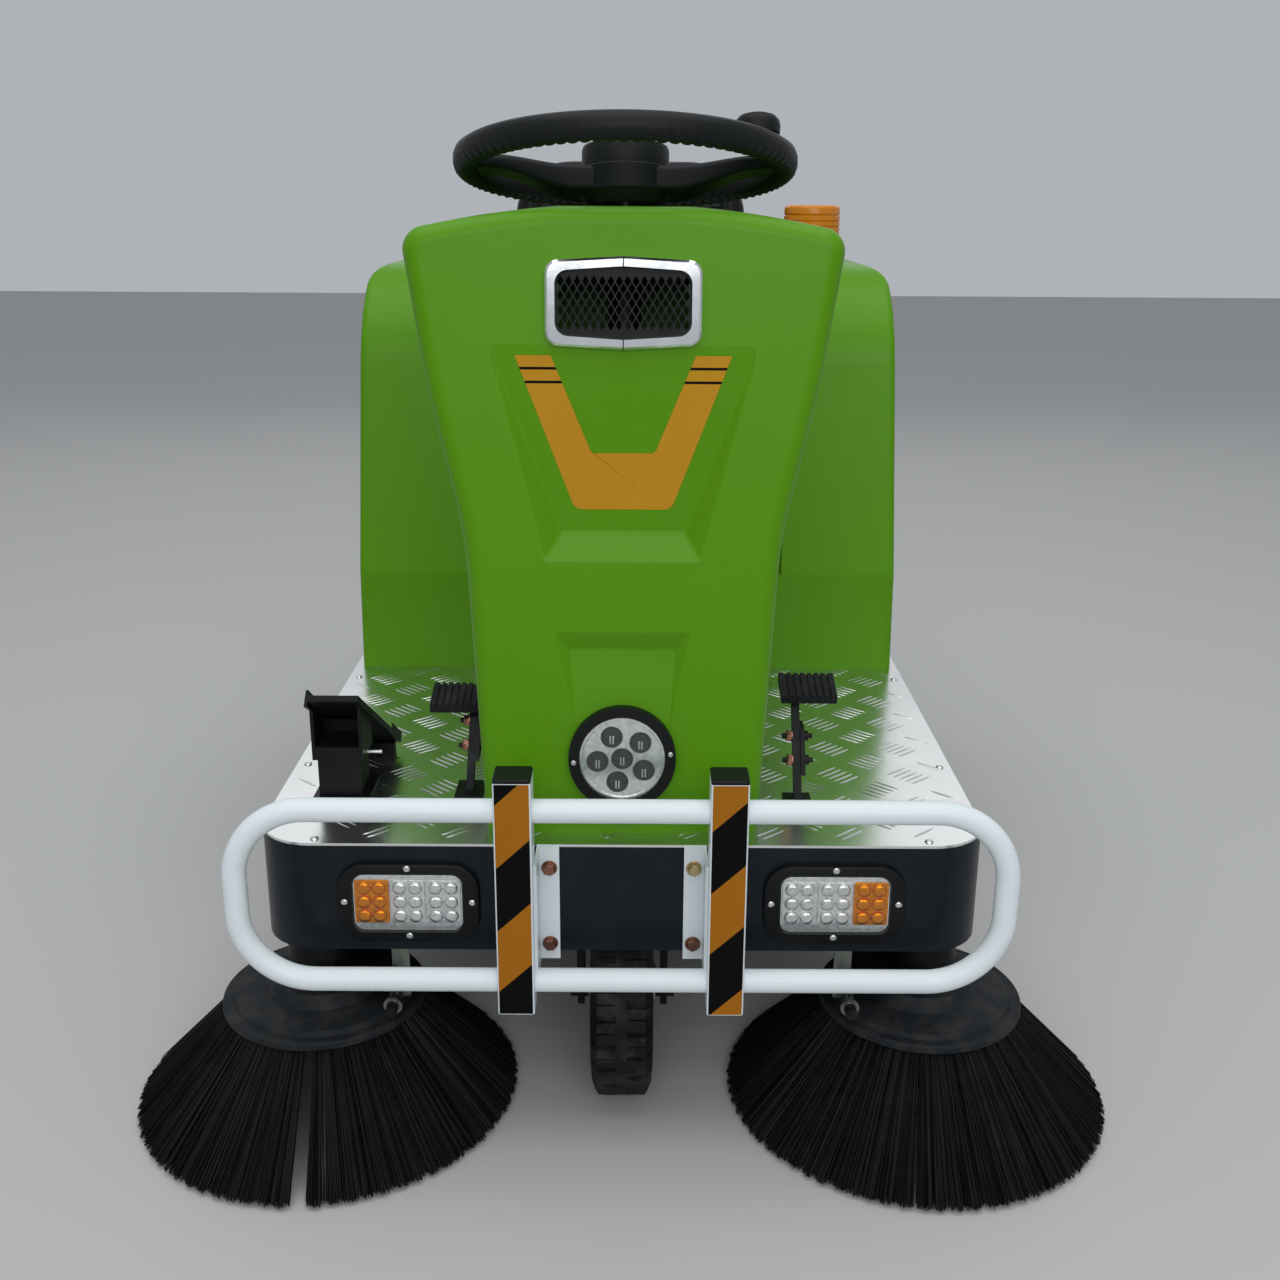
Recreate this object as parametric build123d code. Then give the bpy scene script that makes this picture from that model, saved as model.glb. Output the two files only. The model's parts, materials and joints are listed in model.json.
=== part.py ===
from build123d import *
import math
import os

# Compact ride-on road sweeper, in millimetres.
# X points to the machine's left, Y to the rear and Z up. The origin is on the
# ground, under the middle of the machine's outline. The machine faces -Y.
# A (low, high) pair is a span along one axis. side is +1 on the left, -1 on the right.

# Deck and the sheet that wraps it
DECK_TOP = 370.0
DECK_SHEET = 3.0
DECK_WIDTH = 820.0
DECK_FRONT = -549.0
DECK_REAR = 690.0
DECK_CORNER = 65.0
FASCIA_DROP = 131.0
FASCIA_SHEET = 3.0
FASCIA_REAR = -160.0
DECK_HALF = DECK_WIDTH / 2
DECK_BOTTOM = DECK_TOP - DECK_SHEET
FASCIA_BOTTOM = DECK_TOP - FASCIA_DROP

# Frame under the deck
RAIL_WIDTH = 40.0
RAIL_HEIGHT = 40.0
RAIL_INNER = 180.0
FRONT_BEAM = 30.0
STEER_BLOCK = (45.0, 35.0)
MIDDLE_CROSS_Y = 230.0
RAIL_BOTTOM = DECK_BOTTOM - RAIL_HEIGHT

# Side skirts
SKIRT_SHEET = 3.0
SKIRT_BOTTOM = 112.0
SKIRT_FRONT_BOTTOM = 235.0
SKIRT_SLOPE = 130.0
ARCH_GAP = 26.0

# Steering: one straight inclined axis from the hand wheel to the fork
STEER_TOP_Y = -311.0
STEER_TOP_Z = 1084.0
STEER_DECK_Y = -447.0
SHAFT_RADIUS = 11.0
COLUMN_BORE = 12.0
COLUMN_RADIUS = 19.0
SPINDLE_RADIUS = 15.0
HEAD_TUBE_RADIUS = 25.0
RUNNING_GAP = 0.3

# Wheels
FRONT_WHEEL_RADIUS = 130.0
FRONT_WHEEL_Y = -441.0
TYRE_WIDTH = 75.0
REAR_WHEEL_RADIUS = 150.0
REAR_WHEEL_Y = 430.0
REAR_TRACK = 694.0
FRONT_RIM_RADIUS = 76.0
REAR_RIM_RADIUS = 92.0
HUB_WIDTH = 80.0
AXLE_RADIUS = 10.0
STUB_RADIUS = 12.5

# Front fork
FORK_LEG = 8.0
FORK_INSIDE = 92.0
CROWN_Z = 288.0
CROWN_THICKNESS = 12.0
HEAD_TUBE_TOP = DECK_TOP + 2

# Hand wheel
HAND_WHEEL_RADIUS = 175.0
HAND_WHEEL_SECTION = 15.0
HAND_WHEEL_DISH = 42.0
HAND_WHEEL_HUB = 47.0
HUB_CAP_TOP = -4.0
SPOKE_WIDTH = 84.0
SPOKE_END = 56.0
SPOKE_HEIGHT = 26.0
FINGER_NOTCHES = 36
FINGER_DEPTH = 2.6
SPINNER_ANGLE = 33.0
SPINNER_RADIUS = 25.0
SPINNER_HEIGHT = 40.0

# Console column, half widths at heights, and its side view
CONSOLE_WALL = 5.0
CONSOLE_FRONT_BASE = -520.0
CONSOLE_FRONT_TOP = -478.0
CONSOLE_REAR_BASE = -262.0
CONSOLE_REAR_TOP = -205.0
CONSOLE_PEAK = 1040.0
CONSOLE_REAR_PEAK = 1000.0
CONSOLE_TOP_RUN = 130.0
CONSOLE_FOOT_HALF = 152.5
CONSOLE_WAIST_Z = 700.0
CONSOLE_WAIST_HALF = 170.0
CONSOLE_FLARE_Z = 862.0
CONSOLE_FLARE_HALF = 206.0
CONSOLE_SHOULDER_Z = 1017.0
CONSOLE_SHOULDER_HALF = 230.0
CONSOLE_EDGE = 18.0
CONSOLE_CORNER = 24.0
RECESS_EDGE = 8.0
# Each recess in the column's front: half width and height where it fades into the face,
# the same at its deep end's mouth, and half width, height and depth of the floor there
V_RECESS = ((140.0, 905.0), (83.0, 680.5), (66.0, 707.0, 20.0))
LOW_RECESS = ((52.0, 500.0), (74.0, 601.6), (58.0, 581.0, 8.0))

# Panel on the column's rear slope, seen from the driver's place, with what stands on it
DASH_PANEL = (250.0, 92.0, 9.0)
DASH_FROM_REAR = 59.0
GAUGE_AT = (-98.0, 6.0)
GAUGE_RADIUS = 24.0
KEY_AT = (104.0, -20.0)
KEY_RADIUS = 10.0
ROCKERS_AT = (88.0, 20.0)
ROCKER = (16.0, 24.0)
ROCKER_PITCH = 22.0

# Front grille, round lamp and lamp pairs
GRILLE_Z = 947.0
GRILLE_WIDTH = 160.0
GRILLE_HEIGHT = 93.0
GRILLE_FRAME = 10.0
GRILLE_DEPTH = 9.0
MESH_SHEET = 1.6
MESH_PITCH = (8.6, 14.4)
MESH_BAR = 1.7
WORK_LAMP_Z = 461.0
WORK_LAMP_RADIUS = 59.0
WORK_LENS_RADIUS = 47.5
REFLECTOR_RADIUS = 12.0
REFLECTOR_RING = 27.5
REFLECTOR_TURN = 41.0
LAMP_X = 237.0
LAMP_Z = 300.0
BEZEL_WIDTH = 158.5
BEZEL_HEIGHT = 95.0
BEZEL_DEPTH = 8.0
LENS_WIDTH = 126.0
LENS_HEIGHT = 75.0
AMBER_SHARE = 42.0
LENS_PROUD = 5.0
LENS_DOME_RADIUS = 8.2
LENS_DOME = 2.2
LENS_COLUMNS = 6
LENS_ROWS = 3

# Bumper loop, its square posts and the brackets that hold them
TUBE_RADIUS = 13.0
BUMPER_Y = -601.0
BUMPER_TOP_Z = 434.0
BUMPER_BOTTOM_Z = 232.0
BUMPER_HALF = 414.0
BUMPER_BEND = 80.0
POST_SIZE = 40.0
POST_WALL = 2.5
POST_CORNER = 3.0
POST_X = 113.5
POST_BOTTOM_Z = 201.0
POST_TOP_Z = 473.0
BRACKET_SHEET = 3.0
BRACKET_WIDTH = 24.5
BOLT_X = 80.0
BOLT_LOW_Z = 249.5
BOLT_HIGH_Z = 343.0
BOLT_HOLE = 4.5
CAP_HEIGHT = 4.0

# Side brushes and the arms that lift them
BRUSH_X = 358.0
BRUSH_Y = -466.0
BRUSH_TIP_RADIUS = 234.0
BRUSH_TIP_Z = 3.0
DISC_RADIUS = 120.0
DISC_BOTTOM_Z = 130.0
DISC_TOP_Z = 150.0
HUB_RISE = 14.0
DISC_FLANGE = 12.0
BRISTLE_ROOT_RADIUS = 104.0
BRISTLE_RING = 12.0
TUFTS = 42
TUFT_ROOT = (9.5, 10.0)
TUFT_TIP = (29.0, 20.0)
ARM_PIVOT_Y = -150.0
ARM_PIVOT_Z = 215.0
ARM_PLATE = 6.0
ARM_PLATE_Z = 180.0
ARM_BAR = 8.0
ARM_EYE_RADIUS = 16.0
ARM_PIN_RADIUS = 8.0
ARM_SPACING = 42.0
ARM_X = 300.0
ARM_LUG = 10.0
MOTOR_RADIUS = 40.0
MOTOR_HEIGHT = 74.0
LINK_X = 262.0
LINK_Z = 165.0
LINK_RADIUS = 7.0
LINK_FRONT = -563.0
STRAP_X = 257.0
STRAP_Y = -512.0
STRAP_TOP_Z = 274.0

# Main roller brush and its housing
ROLLER_Y = 70.0
ROLLER_Z = 140.0
ROLLER_RADIUS = 135.0
ROLLER_CORE = 60.0
ROLLER_END_GAP = 15.0
ROLLER_ROWS = 8
ROW_THICKNESS = 18.0
ROW_TWIST = 24.0
HOUSING_GAP = 15.0
HOUSING_SHEET = 3.0
HOUSING_HALF = 275.0
FLAP_THICKNESS = 4.0
FLAP_CLEARANCE = 8.0
FLAP_TOP_Z = 90.0

# Dust hopper that pulls out to the rear
HUB_CLEARANCE = 25.0
HOPPER_SIDE_GAP = 15.0
HOPPER_FRONT = 236.0
HOPPER_REAR = 640.0
HOPPER_BOTTOM = 92.0
HOPPER_TOP = 316.0
HOPPER_WALL = 2.5
HOPPER_LIP = 11.0
HOPPER_LIP_Z = 250.0
DROP_PLATE = 12.0
HANDLE_RADIUS = 9.0
HANDLE_REACH = 57.0
HANDLE_HALF = 110.0
HANDLE_Z = 235.0

# Rear body shell with the seat well between its two shoulders
BODY_HALF = 399.0
BODY_TOP_HALF = 380.0
BODY_FRONT = 56.0
BODY_CREASE = 42.0
BODY_CREASE_Z = 520.0
BODY_SHOULDER_Y = 96.0
BODY_TOP = 955.0
BODY_REAR = 688.0
BODY_REAR_SLOPE = 26.0
BODY_WALL = 5.0
BODY_SIDE_RADIUS = 36.0
BODY_EDGE = 9.0
WELL_HALF = 227.0
WELL_FLOOR = 640.0
WELL_SETBACK = 102.0
WELL_REAR = 612.0
HATCH_HALF = 196.0
HATCH = (140.0, 560.0)
PANEL = (370.0, 330.0)
PANEL_Y = 375.0
PANEL_Z = 630.0
PANEL_DEPTH = 2.5
VENT_SLOTS = 5
VENT_SLOT = (170.0, 8.0)
VENT_PITCH = 18.0
VENT_Z = 520.0

# Seat on its lifting lid
LID_HALF = 220.0
LID_HEIGHT = 14.0
LID_SEAT = 0.3
LID_GAP = 6.0
LID_FRONT_GAP = 12.0
HINGE_RADIUS = 6.0
HINGE_PIN = 3.0
HINGE_LEAF = 3.0
HINGE_X = 100.0
KNUCKLE = 38.0
CUSHION_HALF = 210.0
CUSHION = (122.0, 500.0)
CUSHION_THICKNESS = 88.0
SEAT_BACK_HALF = 212.0
SEAT_BACK_TOP = 1128.0
SEAT_BACK_THICKNESS = 72.0
SEAT_BACK_LEAN = 4.5

# Battery
BATTERY_HALF = 165.0
BATTERY = (190.0, 530.0)
BATTERY_HEIGHT = 220.0

# Beacon
BEACON_X = 285.0
BEACON_Y = 335.0
BEACON_RADIUS = 43.5
BEACON_BASE = 13.0
BEACON_TOP = 1039.0

# Pedals
PEDAL_PAD = (66.0, 50.0, 11.0)
PEDAL_STALK = 9.0
PEDAL_RUN = 84.0
PEDAL_TILT = 14.0
PEDAL_TEETH = 8
PEDAL_BOLTS = (46.0, 70.0)
TREADLE_X = (-362.0, -302.0)
TREADLE_TOE = (-458.0, 140.0)
TREADLE_HEEL = (-285.0, 14.0)
TREADLE_SKEW = 18.0
TREADLE_SHEET = 6.0
TREADLE_BOX = (-442.0, -384.0)


HOUSING_LENGTH = 2 * HOUSING_HALF
ROLLER_LENGTH = HOUSING_LENGTH - 2 * ROLLER_END_GAP
DROP_PLATE_X = REAR_TRACK / 2 - HUB_WIDTH / 2 - HUB_CLEARANCE - DROP_PLATE
HOPPER_HALF = DROP_PLATE_X - HOPPER_SIDE_GAP
HINGE_Y = WELL_SETBACK - HINGE_RADIUS - 1
HINGE_Z = WELL_FLOOR + LID_SEAT + LID_HEIGHT / 2


def block(x, y, z):
    """A box between three (low, high) pairs."""
    middle = [(pair[0] + pair[1]) / 2 for pair in (x, y, z)]
    return Pos(*middle) * Box(x[1] - x[0], y[1] - y[0], z[1] - z[0])


def outline(*corners):
    """A closed face from corners (u, v) or (u, v, radius)."""
    points = [(corner[0], corner[1]) for corner in corners]
    radii = [corner[2] if len(corner) > 2 else 0 for corner in corners]
    return make_face(FilletPolyline(*points, radius=radii, close=True))


def upward(face, z):
    """A face in X and Y raised over the span z."""
    return extrude(Plane.XY.offset(z[0]) * face, amount=z[1] - z[0])


def across(face, x):
    """A face in Y and Z drawn over the span x."""
    return extrude(Plane.YZ.offset(x[0]) * face, amount=x[1] - x[0])


def along(face, y):
    """A face in X and Z drawn over the span y."""
    return extrude(Plane.XZ.offset(-y[1]) * face, amount=y[1] - y[0])


def rod(start, end, radius):
    """A round bar between two points."""
    line = Vector(*end) - Vector(*start)
    return extrude(Plane(origin=start, z_dir=line) * Circle(radius), amount=line.length)


def tube(path, radius):
    """A round bar along a path of lines and arcs."""
    return sweep(Plane(origin=path @ 0, z_dir=path % 0) * Circle(radius), path=path)


def pair_span(side, low, high):
    """The span from low to high on one side of the machine."""
    return (low, high) if side > 0 else (-high, -low)


def both_sides(shape):
    """A left-hand solid and its mirror image."""
    return [shape, mirror(shape, about=Plane.YZ)]


def save(node, *solids):
    """Write one node, made of one solid or of several that stay apart."""
    flat = [solid for shape in solids for solid in shape.solids()]
    shape = flat[0] if len(flat) == 1 else Compound(children=flat)
    shape.label = node
    export_step(shape, f"parts/{node}.step")


STEER_TOP = Vector(0, STEER_TOP_Y, STEER_TOP_Z)
STEER_DECK = Vector(0, STEER_DECK_Y, DECK_TOP)
STEER_UP = (STEER_TOP - STEER_DECK).normalized()


CROWN_TOP_Z = CROWN_Z + CROWN_THICKNESS * STEER_UP.Z


def steer_point(z):
    """The point of the steering axis at a height."""
    return STEER_DECK + STEER_UP * ((z - DECK_TOP) / STEER_UP.Z)


def steer_plane(z):
    """The plane square to the steering axis at a height."""
    return Plane(origin=steer_point(z), x_dir=(1, 0, 0), z_dir=STEER_UP)


def steer_bar(z, radius):
    """A round bar on the steering axis over the span z."""
    return rod(tuple(steer_point(z[0])), tuple(steer_point(z[1])), radius)


# Deck, fascia and frame


def deck_outline(inset=0.0):
    half = DECK_HALF - inset
    front = DECK_FRONT + inset
    corner = DECK_CORNER - inset
    return outline((-half, DECK_REAR), (-half, front, corner), (half, front, corner), (half, DECK_REAR))


def deck_plate():
    sheet = upward(deck_outline(), (DECK_BOTTOM, DECK_TOP))
    return sheet - steer_bar((DECK_BOTTOM - 20, DECK_TOP + 20), HEAD_TUBE_RADIUS + 1)


def front_fascia():
    z = (FASCIA_BOTTOM, DECK_BOTTOM)
    wrap = upward(deck_outline(), z) - upward(deck_outline(FASCIA_SHEET), z)
    wrap -= block((-DECK_HALF - 1, DECK_HALF + 1), (FASCIA_REAR, DECK_REAR + 1), (z[0] - 1, z[1] + 1))
    through = (DECK_FRONT - 1, DECK_FRONT + FASCIA_SHEET + 1)
    for side in (1, -1):
        window = outline_box((side * LAMP_X, LAMP_Z), LENS_WIDTH - 8, LENS_HEIGHT - 8, 10)
        wrap -= along(window, through)
        for bolt_z in (BOLT_LOW_Z, BOLT_HIGH_Z):
            wrap -= along(Pos(side * BOLT_X, bolt_z) * Circle(BOLT_HOLE), through)
    return wrap


def outline_box(centre, width, height, radius):
    """A rounded rectangle as a face."""
    return Pos(*centre) * RectangleRounded(width, height, radius)


def chassis_frame():
    z = (RAIL_BOTTOM, DECK_BOTTOM)
    inside = DECK_HALF - FASCIA_SHEET
    fascia_back = DECK_FRONT + FASCIA_SHEET
    rear_end = DECK_REAR - SKIRT_SHEET
    outer_rail = RAIL_INNER + RAIL_WIDTH
    beam_z = (DECK_BOTTOM - FRONT_BEAM, DECK_BOTTOM)
    frame = block((-outer_rail, outer_rail), (fascia_back, fascia_back + FRONT_BEAM), beam_z)
    frame += block((-RAIL_INNER, RAIL_INNER), (STEER_DECK_Y - STEER_BLOCK[0], STEER_DECK_Y + STEER_BLOCK[1]), z)
    for cross_y in (ARM_PIVOT_Y, MIDDLE_CROSS_Y, rear_end - RAIL_WIDTH / 2):
        frame += block((-inside, inside), (cross_y - RAIL_WIDTH / 2, cross_y + RAIL_WIDTH / 2), z)
    for side in (1, -1):
        frame += block(pair_span(side, RAIL_INNER, outer_rail), (fascia_back + FRONT_BEAM, rear_end), z)
        frame += block(pair_span(side, inside - RAIL_WIDTH, inside), (ARM_PIVOT_Y, rear_end), z)
        frame += arm_lugs(side)
        frame += rear_axle_plate(side)
    frame += steer_bar((CROWN_TOP_Z + RUNNING_GAP, HEAD_TUBE_TOP), HEAD_TUBE_RADIUS)
    return frame - steer_bar((RAIL_BOTTOM - RAIL_HEIGHT, DECK_TOP + RAIL_HEIGHT), SPINDLE_RADIUS + RUNNING_GAP)


def arm_lugs(side):
    """Two plates under the cross rail and the pin that a brush arm swings on."""
    reach = ARM_SPACING / 2 + ARM_BAR / 2 + 1
    lugs = []
    for lug_side in (1, -1):
        near = ARM_X + lug_side * reach
        far = near + lug_side * ARM_LUG
        shape = outline(
            (ARM_PIVOT_Y - RAIL_WIDTH / 2, RAIL_BOTTOM),
            (ARM_PIVOT_Y - ARM_EYE_RADIUS, ARM_PIVOT_Z - ARM_EYE_RADIUS, ARM_EYE_RADIUS - 2),
            (ARM_PIVOT_Y + ARM_EYE_RADIUS, ARM_PIVOT_Z - ARM_EYE_RADIUS, ARM_EYE_RADIUS - 2),
            (ARM_PIVOT_Y + RAIL_WIDTH / 2, RAIL_BOTTOM),
        )
        lugs.append(across(shape, pair_span(side, min(near, far), max(near, far))))
    outer = reach + ARM_LUG + 4
    low, high = pair_span(side, ARM_X - outer, ARM_X + outer)
    pin = rod((low, ARM_PIVOT_Y, ARM_PIVOT_Z), (high, ARM_PIVOT_Y, ARM_PIVOT_Z), ARM_PIN_RADIUS)
    return lugs[0] + lugs[1] + pin


def rear_axle_plate(side):
    """The drop plate beside the hopper, its runner and the stub axle."""
    wheel_x = REAR_TRACK / 2
    z = REAR_WHEEL_RADIUS
    foot = 60
    plate = outline(
        (REAR_WHEEL_Y - 2.5 * foot, RAIL_BOTTOM),
        (REAR_WHEEL_Y - foot, z - 50, 30),
        (REAR_WHEEL_Y + foot, z - 50, 30),
        (REAR_WHEEL_Y + 3.5 * foot, RAIL_BOTTOM),
    )
    plate_outer = DROP_PLATE_X + DROP_PLATE
    shape = across(plate, pair_span(side, DROP_PLATE_X, plate_outer))
    tie_y = (REAR_WHEEL_Y - RAIL_WIDTH, REAR_WHEEL_Y + RAIL_WIDTH)
    shape += block(pair_span(side, RAIL_INNER, plate_outer), tie_y, (RAIL_BOTTOM, DECK_BOTTOM))
    runner_top = HOPPER_LIP_Z - RUNNING_GAP
    runner_x = pair_span(side, HOPPER_HALF + 3, DROP_PLATE_X)
    shape += block(runner_x, (REAR_WHEEL_Y - 80, REAR_WHEEL_Y + 110), (runner_top - 5, runner_top))
    hub_half = HUB_WIDTH / 2 + RUNNING_GAP
    start = side * (DROP_PLATE_X + DROP_PLATE / 2)
    nut_from = side * (wheel_x + hub_half)
    nut_to = side * (wheel_x + hub_half + 10)
    shape += rod((start, REAR_WHEEL_Y, z), (nut_to, REAR_WHEEL_Y, z), STUB_RADIUS)
    shape += rod((start, REAR_WHEEL_Y, z), (side * (wheel_x - hub_half), REAR_WHEEL_Y, z), STUB_RADIUS + 9)
    return shape + rod((nut_from, REAR_WHEEL_Y, z), (nut_to, REAR_WHEEL_Y, z), STUB_RADIUS + 6)


def side_skirt(side):
    """A dark sheet under the rear body, cut for the rear wheel, with a rear return."""
    face = outline(
        (FASCIA_REAR + 1, DECK_BOTTOM),
        (FASCIA_REAR + 1, SKIRT_FRONT_BOTTOM, 12),
        (FASCIA_REAR + SKIRT_SLOPE, SKIRT_BOTTOM, 60),
        (DECK_REAR, SKIRT_BOTTOM),
        (DECK_REAR, DECK_BOTTOM),
    )
    sheet = across(face, pair_span(side, DECK_HALF - SKIRT_SHEET, DECK_HALF))
    arch = Pos(REAR_WHEEL_Y, REAR_WHEEL_RADIUS) * Circle(REAR_WHEEL_RADIUS + ARCH_GAP)
    sheet -= across(arch, pair_span(side, DECK_HALF - SKIRT_SHEET - 1, DECK_HALF + 1))
    back = pair_span(side, HOPPER_HALF + 20, DECK_HALF)
    return sheet + block(back, (DECK_REAR - SKIRT_SHEET, DECK_REAR), (SKIRT_BOTTOM, DECK_BOTTOM))


# Bumper


def post_section(side, size, corner):
    """The square post's outline in plan, at one size."""
    return Pos(side * POST_X, BUMPER_Y) * RectangleRounded(size, size, corner)


def bumper_frame():
    loop = outline(
        (-BUMPER_HALF, BUMPER_BOTTOM_Z, BUMPER_BEND),
        (BUMPER_HALF, BUMPER_BOTTOM_Z, BUMPER_BEND),
        (BUMPER_HALF, BUMPER_TOP_Z, BUMPER_BEND),
        (-BUMPER_HALF, BUMPER_TOP_Z, BUMPER_BEND),
    )
    path = (Plane.XZ.offset(-BUMPER_Y) * loop).wires()[0]
    frame = tube(path, TUBE_RADIUS)
    z = (POST_BOTTOM_Z, POST_TOP_Z)
    inner = POST_X - POST_SIZE / 2
    plate_z = (FASCIA_BOTTOM - 9, DECK_TOP)
    for side in (1, -1):
        post = upward(post_section(side, POST_SIZE, POST_CORNER), z)
        frame = frame - post + post
        frame -= upward(post_section(side, POST_SIZE - 2 * POST_WALL, 1), (z[0] - 1, z[1] + 1))
        flange = block(pair_span(side, inner - BRACKET_WIDTH, inner), (DECK_FRONT - BRACKET_SHEET, DECK_FRONT), plate_z)
        for bolt_z in (BOLT_LOW_Z, BOLT_HIGH_Z):
            hole = Pos(side * BOLT_X, bolt_z) * Circle(BOLT_HOLE)
            flange -= along(hole, (DECK_FRONT - BRACKET_SHEET - 1, DECK_FRONT + 1))
        web = block(pair_span(side, inner - BRACKET_SHEET, inner), (BUMPER_Y, DECK_FRONT), plate_z)
        frame += flange + web
    return frame


def bumper_caps():
    cap = upward(post_section(1, POST_SIZE, POST_CORNER), (POST_TOP_Z, POST_TOP_Z + CAP_HEIGHT))
    cap = chamfer(cap.faces().sort_by(Axis.Z)[-1].edges(), 1)
    plug = POST_SIZE - 2 * POST_WALL - 0.4
    cap += upward(post_section(1, plug, 0.9), (POST_TOP_Z - 14, POST_TOP_Z))
    return both_sides(cap)


# Lamps in the fascia


def lamp_bezels():
    plate = along(outline_box((LAMP_X, LAMP_Z), BEZEL_WIDTH, BEZEL_HEIGHT, 20), (DECK_FRONT - BEZEL_DEPTH, DECK_FRONT))
    seat = DECK_FRONT - 2
    plate -= along(outline_box((LAMP_X, LAMP_Z), LENS_WIDTH + 0.6, LENS_HEIGHT + 0.6, 12), (DECK_FRONT - BEZEL_DEPTH - 1, seat))
    box = along(outline_box((LAMP_X, LAMP_Z), LENS_WIDTH - 10, LENS_HEIGHT - 10, 9), (DECK_FRONT - 1, DECK_FRONT + 27))
    return both_sides(plate + box)


def lamp_lens(amber):
    """One colour of the lens pair, with its grid of small domes."""
    seat = DECK_FRONT - 2
    front = DECK_FRONT - BEZEL_DEPTH - LENS_PROUD
    lens = along(outline_box((LAMP_X, LAMP_Z), LENS_WIDTH, LENS_HEIGHT, 11), (front, seat))
    face = Plane(origin=(LAMP_X, front, LAMP_Z), x_dir=(1, 0, 0), z_dir=(0, -1, 0))
    pitch = (LENS_WIDTH - 12) / LENS_COLUMNS, (LENS_HEIGHT - 10) / LENS_ROWS
    for spot in GridLocations(*pitch, LENS_COLUMNS, LENS_ROWS):
        dome = Pos(0, 0, LENS_DOME / 2) * Cone(LENS_DOME_RADIUS, LENS_DOME_RADIUS * 0.6, LENS_DOME)
        lens += Location(face) * (spot * dome)
    split = LAMP_X + LENS_WIDTH / 2 - AMBER_SHARE
    low, high = (split, LAMP_X + LENS_WIDTH) if amber else (LAMP_X - LENS_WIDTH, split)
    depth = (front - LENS_DOME - 1, seat + 1)
    return both_sides(lens & block((low, high), depth, (LAMP_Z - LENS_HEIGHT, LAMP_Z + LENS_HEIGHT)))


# Console column


def console_silhouette(inset=0.0):
    """The front view of the column: a waisted stem that flares to an arched top."""
    rise = CONSOLE_PEAK - CONSOLE_SHOULDER_Z
    shoulder = CONSOLE_SHOULDER_HALF - inset
    arch_radius = (shoulder**2 + rise**2) / (2 * rise)
    apex = CONSOLE_SHOULDER_Z - inset + shoulder * math.tan(math.asin(shoulder / arch_radius))
    foot = (CONSOLE_FOOT_HALF - inset, DECK_TOP - 4 * inset)
    waist = (CONSOLE_WAIST_HALF - inset, CONSOLE_WAIST_Z, 500)
    flare = (CONSOLE_FLARE_HALF - inset, CONSOLE_FLARE_Z, 900)
    top = (shoulder, CONSOLE_SHOULDER_Z - inset, CONSOLE_CORNER - inset)
    right = [foot, waist, flare, top]
    left = [(-corner[0], *corner[1:]) for corner in reversed(right)]
    return outline(*right, (0, apex, arch_radius * 0.85), *left)


def console_profile(inset=0.0):
    """The side view of the column, leaning back, with its top sloping to the driver."""
    base_z = DECK_TOP - 4 * inset
    top_z = CONSOLE_PEAK + 1 - inset
    return outline(
        (CONSOLE_FRONT_BASE + inset, base_z),
        (CONSOLE_FRONT_TOP + inset, top_z),
        (CONSOLE_FRONT_TOP + CONSOLE_TOP_RUN, top_z, 120),
        (CONSOLE_REAR_TOP - inset, CONSOLE_REAR_PEAK - inset, 20),
        (CONSOLE_REAR_BASE - inset, base_z),
    )


def console_form(inset=0.0):
    """The column's outer form, or its inner one at an inset, with the front's rim rounded."""
    depth = (CONSOLE_FRONT_BASE - 10, CONSOLE_REAR_TOP + 10)
    width = CONSOLE_SHOULDER_HALF + 10
    form = (along(console_silhouette(inset), depth) & across(console_profile(inset), (-width, width))).solids()[0]
    front = form.faces().sort_by(Axis.Y)[0]
    rim = front.edges().sort_by(Axis.Z)[1:]
    form = fillet(rim, CONSOLE_EDGE - inset)
    for recess in (V_RECESS, LOW_RECESS):
        form -= face_recess(recess, inset)
    return form


def face_point(x, z, depth):
    """A point at a depth behind the column's front face."""
    return Vector(x, face_y(z), z) - face_plane(z).z_dir * depth


def recess_corners(recess, grow):
    """The three corners of a recess on one side: fade, mouth and floor."""
    fade, mouth, floor = recess
    return [(fade[0] + grow, fade[1], grow), (mouth[0] + grow, mouth[1], grow), (floor[0] + grow, floor[1], floor[2] + grow)]


def face_recess(recess, grow=0.0):
    """A wedge that cuts a recess, or with grow the wall's inner side of it."""
    left = [face_point(*corner) for corner in recess_corners(recess, grow)]
    right = [Vector(-point.X, point.Y, point.Z) for point in left]
    fade, mouth, floor = zip(left, right)
    walls = [
        (fade[0], mouth[0], mouth[1], fade[1]),
        (fade[0], floor[0], floor[1], fade[1]),
        (mouth[0], floor[0], floor[1], mouth[1]),
        (fade[0], mouth[0], floor[0]),
        (fade[1], mouth[1], floor[1]),
    ]
    faces = [make_face(Polyline(*wall, close=True)).face() for wall in walls]
    proud = extrude(faces[0], amount=5 + grow, dir=face_plane(DECK_TOP).z_dir)
    return Solid(Shell(faces)) + proud


def recess_edges(solid, recess, ends_in):
    """The edges to round at a recess's deep end: ends_in is any or all of an edge's ends."""
    deep = [face_point(*corner) for corner in recess_corners(recess, 0)[1:]]
    deep += [Vector(-point.X, point.Y, point.Z) for point in deep]
    found = []
    for edge in solid.edges():
        ends = [Vector(*vertex) for vertex in edge.vertices()]
        if ends_in([any((end - point).length < 0.5 for point in deep) for end in ends]):
            found.append(edge)
    return found


def face_y(z):
    """The column's front face at a height."""
    lean = (CONSOLE_FRONT_TOP - CONSOLE_FRONT_BASE) / (CONSOLE_PEAK + 1 - DECK_TOP)
    return CONSOLE_FRONT_BASE + lean * (z - DECK_TOP)


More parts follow.
